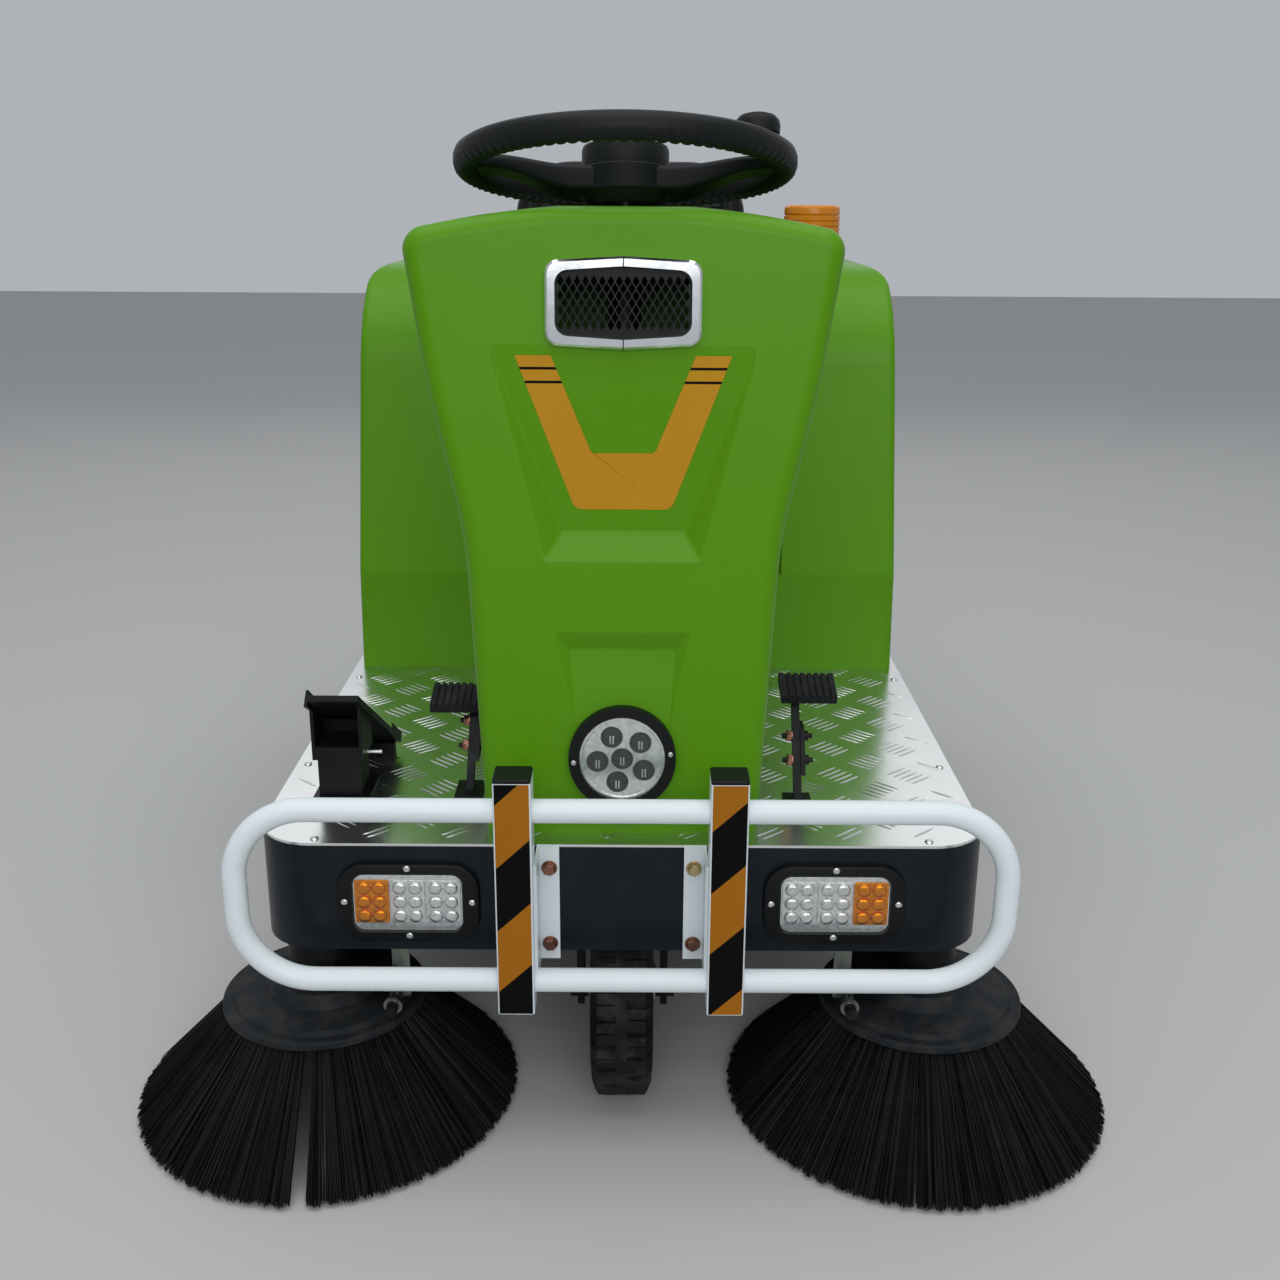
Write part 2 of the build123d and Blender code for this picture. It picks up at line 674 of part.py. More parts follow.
def face_plane(z):
    """A plane on the column's front face, looking forward, X to the machine's left."""
    lean = math.atan((CONSOLE_FRONT_TOP - CONSOLE_FRONT_BASE) / (CONSOLE_PEAK + 1 - DECK_TOP))
    return Plane(origin=(0, face_y(z), z), x_dir=(1, 0, 0), z_dir=(0, -math.cos(lean), math.sin(lean)))


def through_face(z, face, depth, proud=0.0):
    """A face drawn on the column's front, from proud of it to depth behind it."""
    plane = face_plane(z)
    return extrude(plane.offset(-depth) * face, amount=depth + proud)


def console_shell():
    shell = console_form()
    for recess, ends_in in ((V_RECESS, any), (LOW_RECESS, all)):
        shell = fillet(recess_edges(shell, recess, ends_in), RECESS_EDGE)
    shell -= console_form(CONSOLE_WALL)
    shell -= through_face(WORK_LAMP_Z, Circle(WORK_LENS_RADIUS + 2), 30, 20)
    shell -= through_face(GRILLE_Z, hexagon(-GRILLE_FRAME + 1), 30, 20)
    shell -= steer_bar((CONSOLE_SHOULDER_Z - 120, CONSOLE_PEAK + 40), COLUMN_RADIUS + 5)
    return shell


def hexagon(grow=0.0):
    """The grille's rounded six-sided outline, with low peaks at its top and bottom."""
    u, v = GRILLE_WIDTH / 2 + grow, GRILLE_HEIGHT / 2 + grow
    shoulder = v - 4.5
    return outline(
        (-u, -shoulder, 14), (0, -v, 60), (u, -shoulder, 14), (u, shoulder, 14), (0, v, 60), (-u, shoulder, 14)
    )


def grille_frame():
    ring = through_face(GRILLE_Z, hexagon(), 0, GRILLE_DEPTH)
    ring = chamfer(ring.faces().sort_by(Axis.Y)[0].edges(), 2.5)
    return ring - through_face(GRILLE_Z, hexagon(-GRILLE_FRAME), 5, GRILLE_DEPTH + 5)


def grille_mesh():
    """Expanded metal: a sheet pierced by rows of diamonds, every other row shifted."""
    wide, high = MESH_PITCH
    u, v = (wide - MESH_BAR) / 2, (high - 1.6 * MESH_BAR) / 2
    diamond = make_face(Polyline((-u, 0), (0, -v), (u, 0), (0, v), close=True))
    columns = int(GRILLE_WIDTH / wide)
    rows = int(GRILLE_HEIGHT / high)
    sheet = hexagon(-GRILLE_FRAME)
    spots = list(GridLocations(wide, high, columns, rows)) + list(GridLocations(wide, high, columns - 1, rows - 1))
    inside = GRILLE_WIDTH / 2 - GRILLE_FRAME - u - 1, GRILLE_HEIGHT / 2 - GRILLE_FRAME - v - 3
    holes = [spot * diamond for spot in spots if abs(spot.position.X) < inside[0] and abs(spot.position.Y) < inside[1]]
    return through_face(GRILLE_Z, sheet - holes, 2, MESH_SHEET - 2)


def work_lamp_housing():
    cup = through_face(WORK_LAMP_Z, Circle(WORK_LAMP_RADIUS), 0, 12)
    cup += through_face(WORK_LAMP_Z, Circle(WORK_LENS_RADIUS + 1.7), 26, 1)
    return cup - through_face(WORK_LAMP_Z, Circle(WORK_LENS_RADIUS + 0.3), -2, 20)


def work_lamp_lens():
    """The round lens with a ring of five reflectors about a sixth."""
    edge = WORK_LENS_RADIUS
    lens = revolve(Plane.XZ * outline((0, 2), (edge, 2), (edge, 9), (edge - 4, 12, 3), (0, 12)), axis=Axis.Z)
    cup = Pos(0, 0, 10.5) * Cone(REFLECTOR_RADIUS * 0.6, REFLECTOR_RADIUS, 5)
    bulb = Pos(0, 0, 9) * Cone(REFLECTOR_RADIUS * 0.4, REFLECTOR_RADIUS * 0.2, 2.5)
    spots = [Pos(0, 0)] + list(PolarLocations(REFLECTOR_RING, 5, start_angle=REFLECTOR_TURN))
    for spot in spots:
        lens = lens - spot * cup + spot * bulb
    return Location(face_plane(WORK_LAMP_Z)) * lens


def dash_panel():
    """The driver's panel with a gauge, a key barrel and three rocker switches."""
    rear_run = CONSOLE_REAR_TOP - CONSOLE_FRONT_TOP - CONSOLE_TOP_RUN
    slope = math.atan((CONSOLE_PEAK + 1 - CONSOLE_REAR_PEAK) / rear_run)
    middle_y = CONSOLE_REAR_TOP - DASH_FROM_REAR
    middle_z = CONSOLE_REAR_PEAK + DASH_FROM_REAR * math.tan(slope)
    plane = Plane(origin=(0, middle_y, middle_z), x_dir=(1, 0, 0), z_dir=(0, math.sin(slope), math.cos(slope)))
    wide, deep, thick = DASH_PANEL
    panel = extrude(plane * outline_box((0, 0), wide, deep, 14), amount=thick)
    panel = fillet(panel.faces().sort_by(Axis.Z)[-1].edges(), 2)
    raised = plane.offset(thick)
    gauge = Pos(*GAUGE_AT) * (Circle(GAUGE_RADIUS) - Circle(GAUGE_RADIUS - 4))
    panel += extrude(raised * gauge, amount=4)
    panel += extrude(raised * (Pos(*KEY_AT) * Circle(KEY_RADIUS)), amount=7)
    for spot in GridLocations(ROCKER_PITCH, 1, 3, 1):
        panel += extrude(raised * (Pos(*ROCKERS_AT) * spot * RectangleRounded(*ROCKER, 2)), amount=5)
    panel -= across(console_profile(), (-CONSOLE_SHOULDER_HALF, CONSOLE_SHOULDER_HALF))
    return panel - steer_bar((CONSOLE_SHOULDER_Z - 120, CONSOLE_PEAK + 60), SPOKE_WIDTH)


# Steering


def steering_column():
    sleeve = steer_bar((HEAD_TUBE_TOP, STEER_TOP_Z - HAND_WHEEL_DISH - 9), COLUMN_RADIUS)
    return sleeve - steer_bar((DECK_TOP - 10, STEER_TOP_Z), COLUMN_BORE)


def steering_wheel():
    middle, grip = HAND_WHEEL_RADIUS, HAND_WHEEL_SECTION
    section = outline(
        (middle - 0.5 * grip, -0.85 * grip, 4),
        (middle + 0.5 * grip, -grip, 4),
        (middle + grip, -0.4 * grip, 5),
        (middle + grip, 0.5 * grip, 5),
        (middle + 0.4 * grip, grip, 5),
        (middle - 0.5 * grip, 0.95 * grip, 5),
        (middle - grip, 0.3 * grip, 4),
    )
    wheel = revolve(Plane.XZ * section, axis=Axis.Z)
    notch = Rot(0, 90, 0) * Cylinder(7, 4 * grip)
    for spot in PolarLocations(middle, FINGER_NOTCHES):
        wheel -= spot * (Pos(0, 0, -grip - 7 + FINGER_DEPTH) * notch)
    low = -HAND_WHEEL_DISH - 4
    hub = revolve(Plane.XZ * outline((0, low), (HAND_WHEEL_HUB, low, 4), (HAND_WHEEL_HUB, HUB_CAP_TOP, 7), (0, HUB_CAP_TOP)), axis=Axis.Z)
    reach = middle - 5
    shoulder = HAND_WHEEL_HUB + 8
    wings = outline(
        (-reach, -9),
        (-shoulder, low, 18),
        (shoulder, low, 18),
        (reach, -9),
        (reach, 4),
        (reach - 34, 3, 30),
        (shoulder - 6, low + SPOKE_HEIGHT, 30),
        (6 - shoulder, low + SPOKE_HEIGHT, 30),
        (34 - reach, 3, 30),
        (-reach, 4),
    )
    root, end = SPOKE_WIDTH / 2, SPOKE_END / 2
    plan = outline((-reach, -end), (-shoulder, -root, 40), (shoulder, -root, 40), (reach, -end), (reach, end), (shoulder, root, 40), (-shoulder, root, 40), (-reach, end))
    wheel += along(wings, (-root - 1, root + 1)) & upward(plan, (low - 1, grip))
    wheel = wheel + hub - Cylinder(SHAFT_RADIUS, 200)
    return Location(steer_plane(STEER_TOP_Z)) * wheel


def steering_shaft():
    shaft = steer_bar((CROWN_TOP_Z, STEER_TOP_Z - HAND_WHEEL_DISH + 20), SHAFT_RADIUS)
    return shaft + steer_bar((CROWN_TOP_Z, DECK_BOTTOM), SPINDLE_RADIUS)


def spinner_knob():
    angle = math.radians(SPINNER_ANGLE)
    spot = (HAND_WHEEL_RADIUS * math.cos(angle), -HAND_WHEEL_RADIUS * math.sin(angle), 0.6 * HAND_WHEEL_SECTION)
    wide, high = SPINNER_RADIUS, SPINNER_HEIGHT
    profile = outline((0, 0), (11, 0), (9, 14, 6), (wide, 18, 6), (wide, high - 4, 12), (0, high))
    knob = revolve(Plane.XZ * profile, axis=Axis.Z)
    return Location(steer_plane(STEER_TOP_Z)) * (Pos(*spot) * knob)


def front_fork():
    crown = extrude(steer_plane(CROWN_Z) * RectangleRounded(FORK_INSIDE + 2 * FORK_LEG, 84, 3.9), amount=CROWN_THICKNESS)
    top = steer_point(CROWN_Z)
    fork = crown
    for side in (1, -1):
        leg = outline(
            (top.Y - 36, CROWN_Z),
            (FRONT_WHEEL_Y - 20, FRONT_WHEEL_RADIUS - 22, 18),
            (FRONT_WHEEL_Y + 22, FRONT_WHEEL_RADIUS - 22, 18),
            (top.Y + 36, CROWN_Z + 8),
        )
        fork += across(leg, pair_span(side, FORK_INSIDE / 2, FORK_INSIDE / 2 + FORK_LEG))
        start = side * (HUB_WIDTH / 2 + RUNNING_GAP)
        axle_at = (FRONT_WHEEL_Y, FRONT_WHEEL_RADIUS)
        fork += rod((start, *axle_at), (side * (FORK_INSIDE / 2 + 1), *axle_at), AXLE_RADIUS + 5)
        outer = side * (FORK_INSIDE / 2 + FORK_LEG)
        fork += rod((outer, *axle_at), (outer + side * 9, *axle_at), AXLE_RADIUS + 5)
    reach = FORK_INSIDE / 2 + FORK_LEG
    fork += rod((-reach, FRONT_WHEEL_Y, FRONT_WHEEL_RADIUS), (reach, FRONT_WHEEL_Y, FRONT_WHEEL_RADIUS), AXLE_RADIUS)
    return fork


# Wheels


def tyre(centre, radius, rim_radius):
    half = TYRE_WIDTH / 2
    profile = outline(
        (rim_radius, -half + 8),
        (radius - 22, -half, 14),
        (radius, -half + 10, 8),
        (radius, half - 10, 8),
        (radius - 22, half, 14),
        (rim_radius, half - 8),
    )
    ring = revolve(Plane.XZ * profile, axis=Axis.Z)
    return Pos(*centre) * (Rot(0, 90, 0) * ring)


def rim(centre, rim_radius, bore):
    half = TYRE_WIDTH / 2 - 8
    hub = bore + 14
    well = rim_radius - 12
    profile = outline(
        (bore, -HUB_WIDTH / 2),
        (hub, -HUB_WIDTH / 2),
        (hub, -6),
        (well, -6),
        (well, -half),
        (rim_radius, -half),
        (rim_radius, half),
        (well, half),
        (well, 6),
        (hub, 6),
        (hub, HUB_WIDTH / 2),
        (bore, HUB_WIDTH / 2),
    )
    wheel = revolve(Plane.XZ * profile, axis=Axis.Z)
    for spot in PolarLocations((hub + well) / 2, 6):
        wheel -= spot * Cylinder((well - hub) * 0.3, 20)
    return Pos(*centre) * (Rot(0, 90, 0) * wheel)


# Side brushes


def side_brush_arm(side):
    """Two bars from the hinge to a motor plate, with the motor and the lifting link."""
    arm = None
    for bar_side in (1, -1):
        bar_x = ARM_X + bar_side * ARM_SPACING / 2
        shape = outline(
            (ARM_PIVOT_Y - 30, ARM_PIVOT_Z + ARM_EYE_RADIUS - 1),
            (ARM_PIVOT_Y - 4, ARM_PIVOT_Z + ARM_EYE_RADIUS, 4),
            (ARM_PIVOT_Y - 4, ARM_PIVOT_Z - ARM_EYE_RADIUS, 4),
            (ARM_PIVOT_Y - 30, ARM_PIVOT_Z - ARM_EYE_RADIUS - 4, 20),
            (ARM_PIVOT_Y - 200, ARM_PLATE_Z, 60),
            (ARM_PIVOT_Y - 300, ARM_PLATE_Z),
            (ARM_PIVOT_Y - 300, ARM_PLATE_Z + 26, 10),
        )
        bar = across(shape, pair_span(side, bar_x - ARM_BAR / 2, bar_x + ARM_BAR / 2))
        arm = bar if arm is None else arm + bar
    reach = ARM_SPACING / 2 + ARM_BAR / 2
    low, high = pair_span(side, ARM_X - reach, ARM_X + reach)
    arm += rod((low, ARM_PIVOT_Y, ARM_PIVOT_Z), (high, ARM_PIVOT_Y, ARM_PIVOT_Z), ARM_EYE_RADIUS)
    plate = outline(
        (side * LINK_X, ARM_PIVOT_Y - 240),
        (side * LINK_X, ARM_PIVOT_Y - 378, 12),
        (side * (BRUSH_X + 34), ARM_PIVOT_Y - 378, 60),
        (side * (BRUSH_X + 34), ARM_PIVOT_Y - 240, 30),
    )
    arm += upward(plate, (ARM_PLATE_Z, ARM_PLATE_Z + ARM_PLATE))
    motor_at = (side * BRUSH_X, BRUSH_Y)
    arm += upward(Pos(*motor_at) * Circle(MOTOR_RADIUS), (ARM_PLATE_Z + ARM_PLATE - 1, ARM_PLATE_Z + MOTOR_HEIGHT))
    arm += upward(Pos(*motor_at) * Circle(AXLE_RADIUS), (DISC_TOP_Z + HUB_RISE + RUNNING_GAP, ARM_PLATE_Z))
    link_y = (LINK_FRONT, STRAP_Y + 20)
    arm += rod((side * LINK_X, link_y[0], LINK_Z), (side * LINK_X, link_y[1], LINK_Z), LINK_RADIUS)
    strap = pair_span(side, STRAP_X - 10, STRAP_X + 10)
    arm += block(strap, (STRAP_Y, STRAP_Y + 3), (LINK_Z - 10, STRAP_TOP_Z))
    arm += block(pair_span(side, LINK_X - 8, LINK_X + 8), (STRAP_Y + 3, STRAP_Y + 20), (LINK_Z - 8, ARM_PLATE_Z))
    return arm - rod((low - 1, ARM_PIVOT_Y, ARM_PIVOT_Z), (high + 1, ARM_PIVOT_Y, ARM_PIVOT_Z), ARM_PIN_RADIUS + RUNNING_GAP)


def brush_disc(side):
    """The moulded disc: a flat outer flange, a coned face and a raised hub."""
    flange = DISC_RADIUS - DISC_FLANGE
    profile = outline(
        (0, DISC_BOTTOM_Z),
        (DISC_RADIUS, DISC_BOTTOM_Z),
        (DISC_RADIUS, DISC_TOP_Z - 11, 3),
        (flange, DISC_TOP_Z - 11),
        (flange - 3, DISC_TOP_Z - 6, 3),
        (70, DISC_TOP_Z),
        (60, DISC_TOP_Z + HUB_RISE),
        (0, DISC_TOP_Z + HUB_RISE),
    )
    disc = revolve(Plane.XZ * profile, axis=Axis.Z)
    return Pos(side * BRUSH_X, BRUSH_Y, 0) * disc


def brush_bristles(side):
    """A ring of tufts that widen and lean out from the disc to the floor."""
    root, thick = BRISTLE_ROOT_RADIUS, BRISTLE_RING
    low = DISC_BOTTOM_Z - thick
    brush = upward(Circle(root + thick) - Circle(root - thick), (low, DISC_BOTTOM_Z))
    tip = BRUSH_TIP_RADIUS - TUFT_TIP[1] / 2
    middle = low + thick / 2
    tuft = loft([
        Pos(root, 0, middle) * Rectangle(TUFT_ROOT[1], TUFT_ROOT[0]),
        Pos(tip, 0, BRUSH_TIP_Z) * Rectangle(TUFT_TIP[1], TUFT_TIP[0]),
    ])
    brush += [Rot(0, 0, 360 * number / TUFTS) * tuft for number in range(TUFTS)]
    return Pos(side * BRUSH_X, BRUSH_Y, 0) * brush


# Main roller brush


def main_brush():
    """The roller: a core with rows of bristle set in a V that sweeps dirt to the middle."""
    half = ROLLER_LENGTH / 2
    centre = (ROLLER_Y, ROLLER_Z)
    brush = rod((-half, *centre), (half, *centre), ROLLER_CORE)
    radial = ROLLER_RADIUS - ROLLER_CORE + 4
    for row in range(ROLLER_ROWS):
        sections = []
        for x, turn in ((-half, 0), (0, ROW_TWIST), (half, 0)):
            angle = math.radians(360 * row / ROLLER_ROWS + turn)
            plane = Plane(origin=(x, *centre), x_dir=(0, math.cos(angle), math.sin(angle)), z_dir=(1, 0, 0))
            sections.append(plane * (Pos(ROLLER_CORE - 4 + radial / 2, 0) * Rectangle(radial, ROW_THICKNESS)))
        brush += loft(sections, ruled=True)
    reach = HOUSING_HALF + 6
    return brush + rod((-reach, *centre), (reach, *centre), AXLE_RADIUS)


def brush_housing():
    inner = ROLLER_RADIUS + HOUSING_GAP
    outer = inner + HOUSING_SHEET
    ring = Pos(ROLLER_Y, ROLLER_Z) * (Circle(outer) - Circle(inner))
    cut_low = Pos(ROLLER_Y, ROLLER_Z - 200) * Rectangle(500, 400)
    cut_rear = Pos(ROLLER_Y + outer * 0.85 + 100, ROLLER_Z) * Rectangle(200, 170)
    arch = across(ring - cut_low - cut_rear, (-HOUSING_HALF, HOUSING_HALF))
    front = (ROLLER_Y - outer, ROLLER_Y - inner)
    arch += block((-HOUSING_HALF, HOUSING_HALF), front, (FLAP_TOP_Z - 20, ROLLER_Z + 1))
    cheek = Pos(ROLLER_Y, ROLLER_Z) * Circle(outer) - cut_low
    cheek += Pos(ROLLER_Y, (ROLLER_Z + FLAP_TOP_Z) / 2 - 10) * Rectangle(2 * outer, ROLLER_Z - FLAP_TOP_Z + 22)
    cheek -= Pos(ROLLER_Y, ROLLER_Z) * Circle(AXLE_RADIUS + RUNNING_GAP)
    for side in (1, -1):
        arch += across(cheek, pair_span(side, HOUSING_HALF - HOUSING_SHEET, HOUSING_HALF))
        web = block(
            pair_span(side, RAIL_INNER + 10, RAIL_INNER + 16),
            (ROLLER_Y - 60, ROLLER_Y + 60),
            (ROLLER_Z + inner * 0.9, RAIL_BOTTOM),
        )
        arch += web - rod((-HOUSING_HALF, ROLLER_Y, ROLLER_Z), (HOUSING_HALF, ROLLER_Y, ROLLER_Z), inner + 1)
    return arch


def dust_flaps():
    inner = ROLLER_RADIUS + HOUSING_GAP
    outer = inner + HOUSING_SHEET
    front = (ROLLER_Y - outer - FLAP_THICKNESS, ROLLER_Y - outer)
    z = (FLAP_CLEARANCE, FLAP_TOP_Z)
    flaps = [block((-HOUSING_HALF, HOUSING_HALF), front, z)]
    for side in (1, -1):
        x = pair_span(side, HOUSING_HALF, HOUSING_HALF + FLAP_THICKNESS)
        flaps.append(block(x, (ROLLER_Y - outer + 2, ROLLER_Y + outer), z))
    return flaps


# Hopper


def hopper():
    half, wall = HOPPER_HALF, HOPPER_WALL
    y = (HOPPER_FRONT, HOPPER_REAR)
    z = (HOPPER_BOTTOM, HOPPER_TOP)
    bin_ = block((-half, half), y, z)
    bin_ -= block((-half + wall, half - wall), (y[0] - 1, y[1] - wall), (z[0] + wall, z[1] + 1))
    bin_ += block((-half - 8, half + 8), (y[1], y[1] + 3), (z[0], z[1] + 4))
    for side in (1, -1):
        bin_ += block(pair_span(side, half, half + HOPPER_LIP), y, (HOPPER_LIP_Z, HOPPER_LIP_Z + 3))
    return bin_


def hopper_handle():
    back = HOPPER_REAR + 3
    reach = back + HANDLE_REACH - HANDLE_RADIUS
    corners = [(-HANDLE_HALF, back), (-HANDLE_HALF, reach), (HANDLE_HALF, reach), (HANDLE_HALF, back)]
    path = Plane.XY.offset(HANDLE_Z) * FilletPolyline(*corners, radius=[22, 22])
    return tube(path, HANDLE_RADIUS)


# Rear body, seat, battery and beacon


def body_half(z):
    """Half the rear body's width at a height: its sides lean in."""
    return BODY_HALF - (BODY_HALF - BODY_TOP_HALF) * (z - DECK_TOP) / (BODY_TOP - DECK_TOP)


def body_form(inset=0.0):
    """The rear body's outer form: front view crossed with side view, its long edges rounded."""
    base = DECK_TOP - 4 * inset
    top = BODY_TOP - inset
    foot, head, corner = body_half(base) - inset, body_half(top) - inset, BODY_SIDE_RADIUS - inset
    y = (BODY_CREASE - 10, BODY_REAR + 10)
    side_view = outline(
        (BODY_FRONT + inset, base),
        (BODY_CREASE + inset, BODY_CREASE_Z, 30),
        (BODY_SHOULDER_Y + inset, top, 150),
        (BODY_REAR - BODY_REAR_SLOPE - inset, top, 80),
        (BODY_REAR - inset, base),
    )
    square = along(outline((-foot, base), (foot, base), (head, top), (-head, top)), y)
    form = (square & across(side_view, (-foot - 10, foot + 10))).solids()[0]
    long_edges = [edge for edge in form.edges() if abs(edge.center().X) > head - 10 and edge.center().Z > base + 1]
    rounded = outline((-foot, base), (foot, base), (head, top, corner), (-head, top, corner))
    return fillet(long_edges, BODY_EDGE - inset) & along(rounded, y)


def seat_well(grow=0.0):
    """The space between the shoulders, larger by grow for the inner cut."""
    x = (-WELL_HALF - grow, WELL_HALF + grow)
    well = block(x, (BODY_CREASE - 50, WELL_REAR + grow), (WELL_FLOOR - grow, BODY_TOP + 50))
    return well + block(x, (BODY_CREASE - 50, WELL_SETBACK + grow), (BODY_CREASE_Z - grow, BODY_TOP))


def side_plane(side, y, z):
    """A plane on the body's leaning side, looking out."""
    lean = math.atan((BODY_HALF - BODY_TOP_HALF) / (BODY_TOP - DECK_TOP))
    return Plane(origin=(side * body_half(z), y, z), x_dir=(0, side, 0), z_dir=(side * math.cos(lean), 0, math.sin(lean)))


def vents(plane):
    """A column of through slots."""
    slots = [Pos(0, VENT_PITCH * (row - (VENT_SLOTS - 1) / 2)) * SlotOverall(*VENT_SLOT) for row in range(VENT_SLOTS)]
    return [extrude(plane.offset(-3 * BODY_WALL) * slot, amount=4 * BODY_WALL) for slot in slots]


def rear_body_shell():
    form = body_form() - seat_well()
    for side in (1, -1):
        panel = side_plane(side, PANEL_Y, PANEL_Z)
        form -= extrude(panel.offset(-PANEL_DEPTH) * RectangleRounded(*PANEL, 40), amount=20)
    shell = form - (body_form(BODY_WALL) - seat_well(BODY_WALL))
    for side in (1, -1):
        shell -= vents(side_plane(side, PANEL_Y, VENT_Z))
    lean = math.atan(BODY_REAR_SLOPE / (BODY_TOP - DECK_TOP))
    rear_y = BODY_REAR - BODY_REAR_SLOPE * (VENT_Z - DECK_TOP) / (BODY_TOP - DECK_TOP)
    shell -= vents(Plane(origin=(0, rear_y, VENT_Z), x_dir=(-1, 0, 0), z_dir=(0, math.cos(lean), math.sin(lean))))
    shell -= block((-HATCH_HALF, HATCH_HALF), HATCH, (WELL_FLOOR - 20, WELL_FLOOR + 20))
    for side in (1, -1):
        x = pair_span(side, HINGE_X - KNUCKLE, HINGE_X)
        leaf = block(x, (WELL_SETBACK - HINGE_LEAF, WELL_SETBACK), (HINGE_Z - 36, HINGE_Z - 7.3))
        leaf += block(x, (HINGE_Y - 1, WELL_SETBACK), (HINGE_Z - 10.3, HINGE_Z - 7.3))
        shell += leaf + block(x, (HINGE_Y - 3, HINGE_Y + 3), (HINGE_Z - 10.3, HINGE_Z))
        shell += rod((x[0], HINGE_Y, HINGE_Z), (x[1], HINGE_Y, HINGE_Z), HINGE_RADIUS)
        low, high = pair_span(side, HINGE_X - KNUCKLE, HINGE_X + KNUCKLE + 3)
        shell += rod((low, HINGE_Y, HINGE_Z), (high, HINGE_Y, HINGE_Z), HINGE_PIN)
    return shell


def seat_lid():
    """The lifting lid with its flange, the knuckles it swings on and the seat back's bracket."""
    low = WELL_FLOOR + LID_SEAT
    top = low + LID_HEIGHT
    y = (WELL_SETBACK + LID_FRONT_GAP, WELL_REAR - LID_GAP)
    lid = block((-LID_HALF, LID_HALF), y, (low, top))
    lid -= block((-LID_HALF + 4, LID_HALF - 4), (y[0] + 4, y[1] - 4), (low - 1, top - 4))
    for side in (1, -1):
        x = pair_span(side, HINGE_X + 1, HINGE_X + KNUCKLE)
        lid += block(x, (HINGE_Y, y[0] + 1), (HINGE_Z + 1, HINGE_Z + 1 + HINGE_LEAF))
        lid += rod((x[0], HINGE_Y, HINGE_Z), (x[1], HINGE_Y, HINGE_Z), HINGE_RADIUS)
        lid -= rod((x[0] - 1, HINGE_Y, HINGE_Z), (x[1] + 1, HINGE_Y, HINGE_Z), HINGE_PIN + RUNNING_GAP)
    back = CUSHION[1] + 1 + SEAT_BACK_THICKNESS
    return lid + block((-150, 150), (back - 60, back - 20), (top, top + 30))


def seat_cushion():
    z = WELL_FLOOR + LID_SEAT + LID_HEIGHT
    face = outline((-CUSHION_HALF, z), (CUSHION_HALF, z), (CUSHION_HALF, z + CUSHION_THICKNESS, 34), (-CUSHION_HALF, z + CUSHION_THICKNESS, 34))
    return along(face, CUSHION)


def seat_back():
    low = WELL_FLOOR + LID_SEAT + LID_HEIGHT + 30
    lean = math.tan(math.radians(SEAT_BACK_LEAN))
    run = (SEAT_BACK_TOP - low) * lean
    front = CUSHION[1] + 1
    profile = outline(
        (front, low, 10),
        (front + SEAT_BACK_THICKNESS, low, 10),
        (front + SEAT_BACK_THICKNESS + run, SEAT_BACK_TOP, 34),
        (front + run, SEAT_BACK_TOP, 34),
    )
    half = SEAT_BACK_HALF
    face = outline((-half, low), (half, low), (half, SEAT_BACK_TOP, 110), (-half, SEAT_BACK_TOP, 110))
    return across(profile, (-half - 5, half + 5)) & along(face, (front - 20, front + run + SEAT_BACK_THICKNESS + 20))


def battery_block():
    return block((-BATTERY_HALF, BATTERY_HALF), BATTERY, (DECK_TOP, DECK_TOP + BATTERY_HEIGHT))


def beacon_base():
    return upward(Pos(BEACON_X, BEACON_Y) * Circle(BEACON_RADIUS + 3), (BODY_TOP, BODY_TOP + BEACON_BASE))


def beacon_lens():
    """The ribbed beacon lens with a smooth cap."""
    foot = BODY_TOP + BEACON_BASE
    ribs = 7
    pitch = (BEACON_TOP - 14 - foot) / ribs
    side_line = []
    for rib in range(ribs):
        z = foot + rib * pitch
        side_line += [(BEACON_RADIUS, z), (BEACON_RADIUS, z + 0.7 * pitch), (BEACON_RADIUS - 1.5, z + 0.85 * pitch)]
    profile = outline((0, foot), *side_line, (BEACON_RADIUS, BEACON_TOP - 12), (BEACON_RADIUS - 1, BEACON_TOP, 6), (0, BEACON_TOP))
    return Pos(BEACON_X, BEACON_Y, 0) * revolve(Plane.XZ * profile, axis=Axis.Z)


# Pedals


